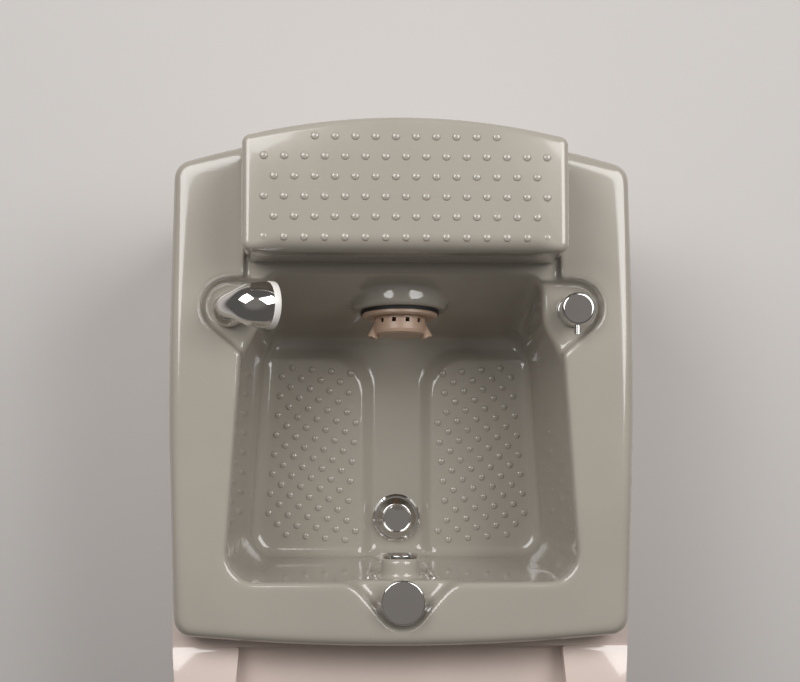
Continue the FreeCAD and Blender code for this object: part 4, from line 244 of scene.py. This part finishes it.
def gelcoat(name, colour):
    """Polished gelcoat: an even colour with faint clouding and a very slight orange peel."""
    material, sockets, place = start_finish(name)
    cloud = place.noise(7.0, 3.0)
    dust = place.noise(240.0, 2.0)
    tint = cloud.between(0.3, 0.7).blend(shade(colour, 0.97), shade(colour, 1.03))
    feed(place, sockets["Base Color"],
         dust.between(0.62, 0.8).blend(tint, shade(colour, 1.06)))
    feed(place, sockets["Roughness"], cloud * 0.06 + 0.12)
    feed(place, sockets["Normal"], place.noise(55.0, 1.0).bump(0.05, 0.001))
    feed(place, sockets["Specular IOR Level"], 0.5)
    feed(place, sockets["Coat Weight"], 0.6)
    feed(place, sockets["Coat Roughness"], 0.04)
    return material


tub = merged_copy("tub", "tub_moulding")
tub.data.remesh_voxel_size = SKIN_GRID
bpy.ops.object.voxel_remesh()
apply_modifier(tub, "SMOOTH", factor=0.5, iterations=SKIN_ROUNDS)


def plain_wall(x, y, z):
    """Whether a place is on the plain part of a well wall, away from edges and fittings."""
    by_jet = y > JET_FROM and math.hypot(x - JET_SPOT[0], z - JET_SPOT[1]) < JET_REACH
    by_overflow = y < OVERFLOW_FROM and abs(x) < OVERFLOW_HALF
    return (WALL_HEIGHTS[0] < z < WALL_HEIGHTS[1] and abs(x) < WALL_SIDE
            and WALL_ENDS[0] < y < WALL_ENDS[1] and not by_jet and not by_overflow)


walls = tub.vertex_groups.new(name="walls")
walls.add([one.index for one in tub.data.vertices if plain_wall(*one.co)], 1.0, "REPLACE")
apply_modifier(tub, "SMOOTH", factor=0.5, iterations=WALL_ROUNDS, vertex_group="walls")

skin = bmesh.new()
skin.from_mesh(tub.data)
curved = {one.index for edge in skin.edges if edge.calc_face_angle(0) > FLAT_TURN
          for one in edge.verts}
flats = tub.vertex_groups.new(name="flats")
flats.add([one.index for one in skin.verts if one.index not in curved], 1.0, "REPLACE")
skin.free()
apply_modifier(tub, "DECIMATE", ratio=TUB_FACES / len(tub.data.polygons),
               vertex_group="flats")

bed_along = Vector((math.cos(BED_LEAN), math.sin(BED_LEAN), 0))
bed_down = Vector((math.sin(BED_LEAN), -math.cos(BED_LEAN), 0))
bed_start = Vector((*BED_OUTLINE[2], BED_Z)) + bed_down * BED_FIRST_ROW


def on_bed(spot):
    """Whether a bump at this spot is wholly on the flat of the right-hand foot bed."""
    (left, near), (wide, _), (narrow, far), _ = BED_OUTLINE
    side = wide + (narrow - wide) * (spot.y - near) / (far - near)
    if not (left + BED_INSET < spot.x < side - BED_INSET
            and near + BED_INSET < spot.y < far - BED_INSET):
        return False
    for corner_x, corner_y, sign in ((wide, near, 1), (narrow, far, -1)):
        centre = Vector((corner_x, corner_y)) + Vector((-BED_CORNER, sign * BED_CORNER))
        beyond = Vector((spot.x, spot.y)) - centre
        if beyond.x > 0 and beyond.y * sign < 0 and beyond.length > BED_CORNER - BED_INSET:
            return False
    return True


bed_spots = []
for row in range(BED_ROWS):
    for column in range(BED_COLUMNS):
        spot = bed_start - bed_along * (column + row % 2 / 2) * BED_PITCH[0] \
            + bed_down * row * BED_PITCH[1]
        if on_bed(spot):
            bed_spots += [spot, Vector((-spot.x, spot.y, spot.z))]
add_bumps(tub, bed_spots, *BED_BUMP)
only(tub)
bpy.ops.object.shade_smooth(keep_sharp_edges=False)
tub_gelcoat = gelcoat("tub_gelcoat_gloss", TUB_GREY)
tub.data.materials.append(tub_gelcoat)
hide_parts("tub")
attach(tub, "bath")

# Footrest: a hollow moulding in the same gelcoat, bowed at the far side, with a large soft near
# edge and rows of massage bumps. It stands on two posts and lifts off its ledge.

REST_HALF, REST_NEAR, REST_FAR = 0.2075, 0.257, 0.431
REST_LOW, REST_TOP = 0.388, 0.495
REST_BOW, REST_CORNER = 0.850, 0.013
REST_ROUND, REST_ROLL, REST_FADE = 0.0105, 0.022, 0.035
REST_DRAFT = 0.0015
REST_SKIN = 0.005
REST_BUMP = (0.0054, 0.0024)
REST_PITCH, REST_FIRST_ROW = 0.0254, 0.4033
REST_ROWS, REST_BUMP_EDGE = 6, 0.0175
REST_BUMP_SINK, NEAR_BUMP_SINK = 0.0002, 0.0017
NEAR_STEPS, SIDE_STEPS, BOW_STEPS = 30, 12, 20
NEAR_CORNER_STEPS, FAR_CORNER_STEPS = 9, 10
SOFT_EDGE = math.radians(40)


def rest_edge():
    """Points round the footrest in plan, each with its outward direction and edge rounding."""
    def roll_at(x):
        """Rounding of the near edge, which is smaller near the corners."""
        share = min(1.0, max(0.0, (REST_HALF - REST_CORNER - abs(x)) / REST_FADE))
        return REST_ROUND + (REST_ROLL - REST_ROUND) * share * share * (3 - 2 * share)

    points = []
    straight = REST_HALF - REST_CORNER
    for step in range(2 * NEAR_STEPS + 1):
        x = straight * (step / NEAR_STEPS - 1)
        points.append((x, REST_NEAR, 0.0, -1.0, roll_at(x)))
    side_start = len(points)
    for step in range(1, NEAR_CORNER_STEPS + 1):
        turn = math.radians(90 * step / NEAR_CORNER_STEPS)
        points.append((straight + REST_CORNER * math.sin(turn),
                       REST_NEAR + REST_CORNER * (1 - math.cos(turn)),
                       math.sin(turn), -math.cos(turn), REST_ROUND))
    lean = math.asin(straight / (REST_BOW - REST_CORNER))
    bow_at = REST_FAR - REST_BOW
    corner_y = bow_at + (REST_BOW - REST_CORNER) * math.cos(lean)
    for step in range(1, SIDE_STEPS):
        y = REST_NEAR + REST_CORNER + (corner_y - REST_NEAR - REST_CORNER) * step / SIDE_STEPS
        points.append((REST_HALF, y, 1.0, 0.0, REST_ROUND))
    for step in range(FAR_CORNER_STEPS):
        turn = (math.pi / 2 - lean) * step / FAR_CORNER_STEPS
        points.append((straight + REST_CORNER * math.cos(turn),
                       corner_y + REST_CORNER * math.sin(turn),
                       math.cos(turn), math.sin(turn), REST_ROUND))
    side_end = len(points)
    for step in range(2 * BOW_STEPS + 1):
        turn = lean * (1 - step / BOW_STEPS)
        points.append((REST_BOW * math.sin(turn), bow_at + REST_BOW * math.cos(turn),
                       math.sin(turn), math.cos(turn), REST_ROUND))
    return points + [(-x, y, -out_x, out_y, radius)
                     for x, y, out_x, out_y, radius in reversed(points[side_start:side_end])]


def rest_ring(turn):
    """The footrest's edge at one turn of its rounding: upright at 0, level at 90 degrees."""
    inward, drop = 1 - math.cos(turn), 1 - math.sin(turn)
    return [(x - out_x * (REST_DRAFT + radius * inward),
             y - out_y * (REST_DRAFT + radius * inward), REST_TOP - radius * drop)
            for x, y, out_x, out_y, radius in rest_edge()]


rings = [[(x, y, REST_LOW) for x, y, _, _, _ in rest_edge()]]
rings += [rest_ring(math.radians(turn)) for turn in range(0, 91, 10)]
bpy.ops.object.select_all(action="DESELECT")
bpy.ops.mesh.primitive_circle_add(vertices=len(rings[0]), radius=1)
footrest = bpy.context.object
footrest.name = "footrest_moulding"
for vertex, place in zip(footrest.data.vertices, rings[0]):
    vertex.co = place
for before, after in zip(rings, rings[1:]):
    bpy.ops.object.mode_set(mode="EDIT")
    bpy.ops.mesh.select_mode(type="VERT")
    if before is rings[0]:
        bpy.ops.mesh.select_all(action="SELECT")
    bpy.ops.mesh.extrude_region_move(TRANSFORM_OT_translate={"value": (0, 0, 0)})
    bpy.ops.object.mode_set(mode="OBJECT")
    spots = {tuple(Vector(there)): then for there, then in zip(before, after)}
    for vertex in footrest.data.vertices:
        if vertex.select:
            vertex.co = spots[tuple(vertex.co)]
bpy.ops.object.mode_set(mode="EDIT")
bpy.ops.mesh.edge_face_add()
bpy.ops.mesh.select_all(action="SELECT")
bpy.ops.mesh.normals_make_consistent(inside=False)
bpy.ops.object.mode_set(mode="OBJECT")
apply_modifier(footrest, "SOLIDIFY", thickness=REST_SKIN, offset=-1)

rest_spots = []
for row in range(REST_ROWS):
    sink = NEAR_BUMP_SINK if row == REST_ROWS - 1 else REST_BUMP_SINK
    for column in range(-8, 9):
        x = (column + (0.5 if row % 2 == 0 else 0)) * REST_PITCH
        y = REST_FIRST_ROW - REST_PITCH * row
        far = REST_FAR - REST_BOW + math.sqrt(REST_BOW ** 2 - x ** 2)
        if (abs(x) < REST_HALF - REST_BUMP_EDGE
                and REST_NEAR + REST_BUMP_EDGE < y < far - REST_BUMP_EDGE):
            rest_spots.append((x, y, REST_TOP - sink))
add_bumps(footrest, rest_spots, *REST_BUMP)
only(footrest)
bpy.ops.object.shade_smooth_by_angle(angle=SOFT_EDGE)
footrest.data.materials.append(tub_gelcoat)
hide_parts("footrest")
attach(footrest, "footrest")

# Base shell and service panel: cream gelcoat mouldings that carry the tub and hide the frame.
# The panel at the technician's side is held by four screws.

BASE_CREAM = (0.74, 0.616, 0.555, 1)
BASE_ROUND = 0.004
BASE_FLAT = math.radians(1)

base = merged_copy("base_shell", "base_moulding")
bpy.ops.object.mode_set(mode="EDIT")
bpy.ops.mesh.select_all(action="SELECT")
bpy.ops.mesh.dissolve_limited(angle_limit=BASE_FLAT)
bpy.ops.object.mode_set(mode="OBJECT")
apply_modifier(base, "BEVEL", width=BASE_ROUND, segments=3, limit_method="ANGLE",
               angle_limit=SOFT_EDGE, harden_normals=False)
only(base)
bpy.ops.object.shade_smooth_by_angle(angle=SOFT_EDGE)
base_gelcoat = gelcoat("base_gelcoat_gloss", BASE_CREAM)
base.data.materials.append(base_gelcoat)
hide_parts("base_shell")
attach(base, "bath")

panel = merged_copy("service_panel", "service_panel_moulding")
only(panel)
bpy.ops.object.shade_smooth_by_angle(angle=SOFT_EDGE)
panel.data.materials.append(base_gelcoat)
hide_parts("service_panel")
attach(panel, "bath")

# Fittings that keep the shapes of their solids: the mixer, the drain's flange and knob and the
# overflow plate in chrome plate, the jet in beige plastic and the spray face in grey plastic.


def metal(name, colour, rough, smudge=0.04, grain=None):
    """Bare or plated metal with faint smudges in its gloss, and a fine grain if it is bare."""
    material, sockets, place = start_finish(name)
    blotch = place.noise(28.0, 3.0)
    feed(place, sockets["Base Color"], blotch.blend(shade(colour, 0.96), shade(colour, 1.03)))
    feed(place, sockets["Roughness"], blotch * smudge + rough)
    feed(place, sockets["Metallic"], 1.0)
    if grain:
        feed(place, sockets["Normal"], place.noise(grain, 2.0).bump(0.12, 0.0005))
    return material


def plastic(name, colour, rough, fleck=0.05, peel=300.0, depth=0.08):
    """Moulded plastic: a colour with faint mottling and a fine moulded grain."""
    material, sockets, place = start_finish(name)
    mottle = place.noise(35.0, 3.0)
    feed(place, sockets["Base Color"],
         mottle.blend(shade(colour, 1 - fleck), shade(colour, 1 + fleck)))
    feed(place, sockets["Roughness"], mottle * 0.1 + rough)
    feed(place, sockets["Normal"], place.noise(peel, 2.0).bump(depth, 0.0004))
    return material


def dress(node, material):
    """Gives a carried-over node this finish."""
    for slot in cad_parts[node].material_slots:
        slot.link = "OBJECT"
        slot.material = material


chrome = metal("chrome_plate", (0.80, 0.78, 0.76, 1), 0.045)
for node in ("mixer_base", "mixer_turret", "mixer_handle", "drain_flange", "drain_knob",
             "knob_collar", "overflow_plate"):
    dress(node, chrome)
beige = plastic("beige_moulding", (0.53, 0.37, 0.27, 1), 0.28)
for node in ("jet_cover", "jet_flange", "jet_impeller"):
    dress(node, beige)
dress("spray_face", plastic("grey_moulding", (0.25, 0.25, 0.24, 1), 0.3))

# Drain stopper: a turned and plated cap with a flat middle, a thin raised ring and a sloping
# skirt, on a stem that the drain body guides.

RING_SIDES = 64
RING_EDGE = math.radians(35)
POLE, POLE_MERGE = 0.02, 0.00006


def drawn_ring(name, stations):
    """A round piece drawn out from one ring. Each station has its radius and centre in
    millimetres and its lean about y in degrees."""
    radius, centre, lean = stations[0]
    bpy.ops.object.select_all(action="DESELECT")
    bpy.ops.mesh.primitive_circle_add(vertices=RING_SIDES, radius=radius / 1000,
                                      location=[part / 1000 for part in centre],
                                      rotation=(0, math.radians(lean), 0))
    piece = bpy.context.object
    piece.name = name
    bpy.ops.object.transform_apply(location=True, rotation=True, scale=True)
    bpy.ops.object.mode_set(mode="EDIT")
    bpy.ops.mesh.select_mode(type="VERT")
    bpy.ops.mesh.select_all(action="SELECT")
    for wide, middle, turn in stations[1:]:
        step = [(there - here) / 1000 for here, there in zip(centre, middle)]
        place = [part / 1000 for part in middle]
        bpy.ops.mesh.extrude_region_move(TRANSFORM_OT_translate={"value": step})
        bpy.ops.transform.resize(value=(wide / radius,) * 3, center_override=place)
        if turn != lean:
            bpy.ops.transform.rotate(value=math.radians(lean - turn), orient_axis="Y",
                                     center_override=place)
        radius, centre, lean = wide, middle, turn
    bpy.ops.mesh.select_all(action="SELECT")
    bpy.ops.mesh.remove_doubles(threshold=POLE_MERGE)
    bpy.ops.mesh.select_all(action="SELECT")
    bpy.ops.mesh.normals_make_consistent(inside=False)
    bpy.ops.object.mode_set(mode="OBJECT")
    only(piece)
    bpy.ops.object.shade_smooth_by_angle(angle=RING_EDGE)
    return piece


def upright(x, y, profile):
    """Stations of a turned piece that stands upright: radii and heights."""
    return [(radius, (x, y, height), 0) for radius, height in profile]


stopper = drawn_ring("drain_stopper_cap", upright(0, -93.5, (
    (POLE, 114), (4, 114), (4, 162), (28.3, 162), (29, 162.7), (29, 163.4), (28.2, 164.2),
    (22.6, 166.9), (22.0, 167.5), (21.3, 167.9), (20.6, 168), (19.9, 167.8), (19.4, 167.3),
    (18.9, 167.1), (POLE, 167.2))))
stopper.data.materials.append(chrome)
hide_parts("drain_stopper")
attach(stopper, "stopper")

# Spray socket: a turned and plated dome on the left pod, bored for the sprayer's tail, with a
# threaded shank through the pod.

SOCKET_X, SOCKET_Y = -228.5, 194.5
socket = drawn_ring("spray_socket_dome", upright(SOCKET_X, SOCKET_Y, (
    (12.05, 340), (15, 340), (15, 380), (23.5, 380), (23.5, 384), (23.2, 387.5), (22.4, 391),
    (21.2, 394.5), (19.7, 398), (18.2, 401.2), (16.8, 404.2), (15.9, 406), (15.0, 407.3),
    (13.8, 407.9), (12.6, 407.6), (12.05, 406.8), (12.05, 340))))
socket.data.materials.append(chrome)
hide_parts("spray_socket")
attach(socket, "bath")

# Hand sprayer: a plated bell that grows out of a curved neck, with a white ring round its
# mouth. It hangs by its tail in the socket and its hose follows it.

BEND = 30
BEND_TURN = 114
NECK_TOP = 423.3


def along_bend(share, radius, beyond=0):
    """Station on the sprayer's bend, or beyond its end along its aim."""
    turn = math.radians(BEND_TURN * share)
    x = SOCKET_X + BEND * (1 - math.cos(turn)) + beyond * math.sin(turn)
    z = NECK_TOP + BEND * math.sin(turn) + beyond * math.cos(turn)
    return radius, (x, SOCKET_Y, z), BEND_TURN * share


bell = drawn_ring("sprayer_bell", upright(SOCKET_X, SOCKET_Y, (
    (POLE, 358.3), (11.4, 358.3), (12, 358.9), (12, 408.3), (12.9, 408.3), (13.9, 408.9),
    (14.5, 410), (14.5, NECK_TOP))) + [
        along_bend(0.1, 15.2), along_bend(0.2, 16.1), along_bend(0.3, 17.0),
        along_bend(0.4, 18.0), along_bend(0.48, 19.2), along_bend(0.55, 21.0),
        along_bend(0.61, 23.0), along_bend(0.67, 24.9), along_bend(0.73, 26.3),
        along_bend(0.79, 27.4), along_bend(0.86, 28.4), along_bend(0.93, 29.1),
        along_bend(1.0, 29.6),
        along_bend(1.0, 30.0, 4), along_bend(1.0, 30.1, 8), along_bend(1.0, 29.8, 11.5),
        along_bend(1.0, 29.0, 12.2), along_bend(1.0, POLE, 12.2)])
bell.data.materials.append(chrome)
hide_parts("hand_sprayer")
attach(bell, "sprayer")

mouth = drawn_ring("sprayer_mouth_ring", [
    along_bend(1.0, 29.2, 11.6), along_bend(1.0, 30.3, 11.7), along_bend(1.0, 31.0, 12.6),
    along_bend(1.0, 31.0, 18.6), along_bend(1.0, 30.5, 20.0), along_bend(1.0, 29.3, 20.4),
    along_bend(1.0, 27.6, 20.2), along_bend(1.0, 26.6, 19.6), along_bend(1.0, 26.3, 18.6),
    along_bend(1.0, 26.3, 11.6), along_bend(1.0, 29.2, 11.6)])
mouth.data.materials.append(plastic("white_mouth_ring", (0.84, 0.81, 0.77, 1), 0.22, 0.03))
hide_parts("hand_sprayer")
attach(mouth, "sprayer")

# Frame and plumbing under the tub: painted steel rails, plywood deck board, brass and plastic
# fittings. Rubber seals them.

steel_paint = plastic("steel_paint", (0.045, 0.046, 0.048, 1), 0.42, 0.12, 160.0, 0.15)
for node in ("base_rails", "cross_rails", "uprights", "connection_plate", "footrest_plate"):
    dress(node, steel_paint)
bright_steel = metal("bright_steel", (0.56, 0.55, 0.54, 1), 0.24, 0.12, 700.0)
for node in ("footrest_posts", "levelling_feet", "panel_screws", "jet_shaft"):
    dress(node, bright_steel)
brass = metal("turned_brass", (0.66, 0.47, 0.22, 1), 0.22, 0.12, 500.0)
for node in ("cold_inlet", "hot_inlet", "mixer_locknut", "mixer_valve", "socket_locknut"):
    dress(node, brass)
white = plastic("white_moulding", (0.66, 0.66, 0.63, 1), 0.35)
for node in ("cable_gland", "drain_body", "drain_locknut", "footrest_guides", "jet_locknut",
             "knob_housing", "motor_clamp", "overflow_elbow", "overflow_pipe", "waste_pipe",
             "waste_tee"):
    dress(node, white)
dark = plastic("dark_moulding", (0.03, 0.031, 0.033, 1), 0.38, 0.1)
for node in ("control_box", "jet_motor"):
    dress(node, dark)
rubber = plastic("black_rubber_seal", (0.016, 0.016, 0.017, 1), 0.6, 0.15, 420.0, 0.2)
for node in ("drain_gasket", "foot_pads", "jet_gasket", "rim_gasket", "stopper_seal"):
    dress(node, rubber)

ply_finish, ply_sockets, ply_place = start_finish("birch_ply")
along_grain = ply_place.node("Mapping", None,
                             {"Vector": ply_place, "Scale": (1.5, 26.0, 220.0)})
veneer = along_grain.noise(3.0, 4.0)
feed(ply_place, ply_sockets["Base Color"],
     veneer.between(0.3, 0.7).blend((0.45, 0.31, 0.17, 1), (0.62, 0.46, 0.28, 1)))
feed(ply_place, ply_sockets["Roughness"], 0.62)
feed(ply_place, ply_sockets["Normal"], veneer.bump(0.2, 0.0006))
dress("deck_core", ply_finish)

# Hoses and cables: flexible runs between the fittings, each on one smooth line. The thick ones
# are water hoses of dark plastic and the thin ones cables in black rubber.

HOSE_FROM = 0.01
HOSES = {
    "cold_hose": (0.013, "medium", (
        (118, -378.5, 120), (118, -307, 120), (170, -231.9, 108), (222.1, -140.1, 103.2),
        (237.9, -10, 101.2), (240, 110.1, 106), (240.9, 184.9, 150), (242.5, 194.5, 232.5),
        (242.5, 194.5, 304))),
    "hot_hose": (0.013, "medium", (
        (62, -378.5, 120), (62, -307, 120), (110.1, -214.9, 106), (185.1, -130.1, 101.2),
        (206.1, -4.8, 100), (208.9, 114.8, 105.2), (212.9, 184.9, 150), (214.5, 194.5, 232.5),
        (214.5, 194.5, 304))),
    "mixed_hose": (0.013, "medium", (
        (228.5, 234.5, 342), (228.5, 263.1, 342), (199.9, 300.2, 342.4), (140.1, 300.2, 344),
        (61.7, 300.2, 345.2), (-9.9, 300.2, 344), (-129.9, 291.9, 341.2),
        (-211.9, 288.8, 324.8), (-239.1, 290.1, 270), (-239.1, 290.1, 234))),
    "spray_hose_loop": (0.013, "medium", (
        (-239.1, 290.1, 234), (-239.1, 290.1, 188), (-236, 288, 142), (-232.9, 260.1, 114.4),
        (-228.9, 221, 114.4), (-228.5, 194.5, 142.1), (-228.5, 194.5, 181))),
    "motor_cable": (0.007, "medium", (
        (-262, 40, 110.1), (-262, 80.25, 110.1), (-224.9, 170.1, 98), (-165, 234.9, 110),
        (-129.6, 287.1, 180), (-123.4, 287.1, 256), (-94.3, 285.8, 279.1),
        (-42, 285.8, 279.1))),
    "supply_cable": (0.007, "medium", (
        (-90, -378.2, 120), (-90, -338.25, 120), (-149.9, -253.6, 106), (-218.1, -198.8, 104),
        (-262, -160.25, 110.1), (-262, -120, 110.1))),
    "drain_cable": (0.005, "medium", (
        (20, -194, 351.2), (63.9, -194.9, 344), (67.9, -194, 288), (66, -196.2, 228),
        (72.5, -193.1, 168), (80.8, -169.2, 118.8), (87, -93.5, 100), (42, -93.5, 100))),
}


def smooth_run(name, points, diameter):
    """A round run of this thickness along one smooth line, its points in millimetres."""
    line = bpy.data.curves.new(name, "CURVE")
    line.dimensions = "3D"
    spline = line.splines.new("NURBS")
    spline.points.add(len(points) - 1)
    for point, place in zip(spline.points, points):
        point.co = (*(part / 1000 for part in place), 1)
    spline.order_u = 3
    spline.use_endpoint_u = True
    spline.resolution_u = 12
    line.bevel_depth = diameter / 2
    line.bevel_resolution = 5
    line.use_fill_caps = True
    run = bpy.data.objects.new(name, line)
    bpy.context.scene.collection.objects.link(run)
    return run, spline.calc_length()


for name, (diameter, stiffness, points) in HOSES.items():
    run, length = smooth_run(name + "_run", points, diameter)
    run.data.materials.append(dark if diameter > HOSE_FROM else rubber)
    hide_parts(name)
    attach(run, "bath")

# Straight hose under the hand sprayer: steel braid over rubber, fixed to the sprayer's tail.

dress("spray_hose", metal("steel_braid", (0.62, 0.61, 0.60, 1), 0.2, 0.1))
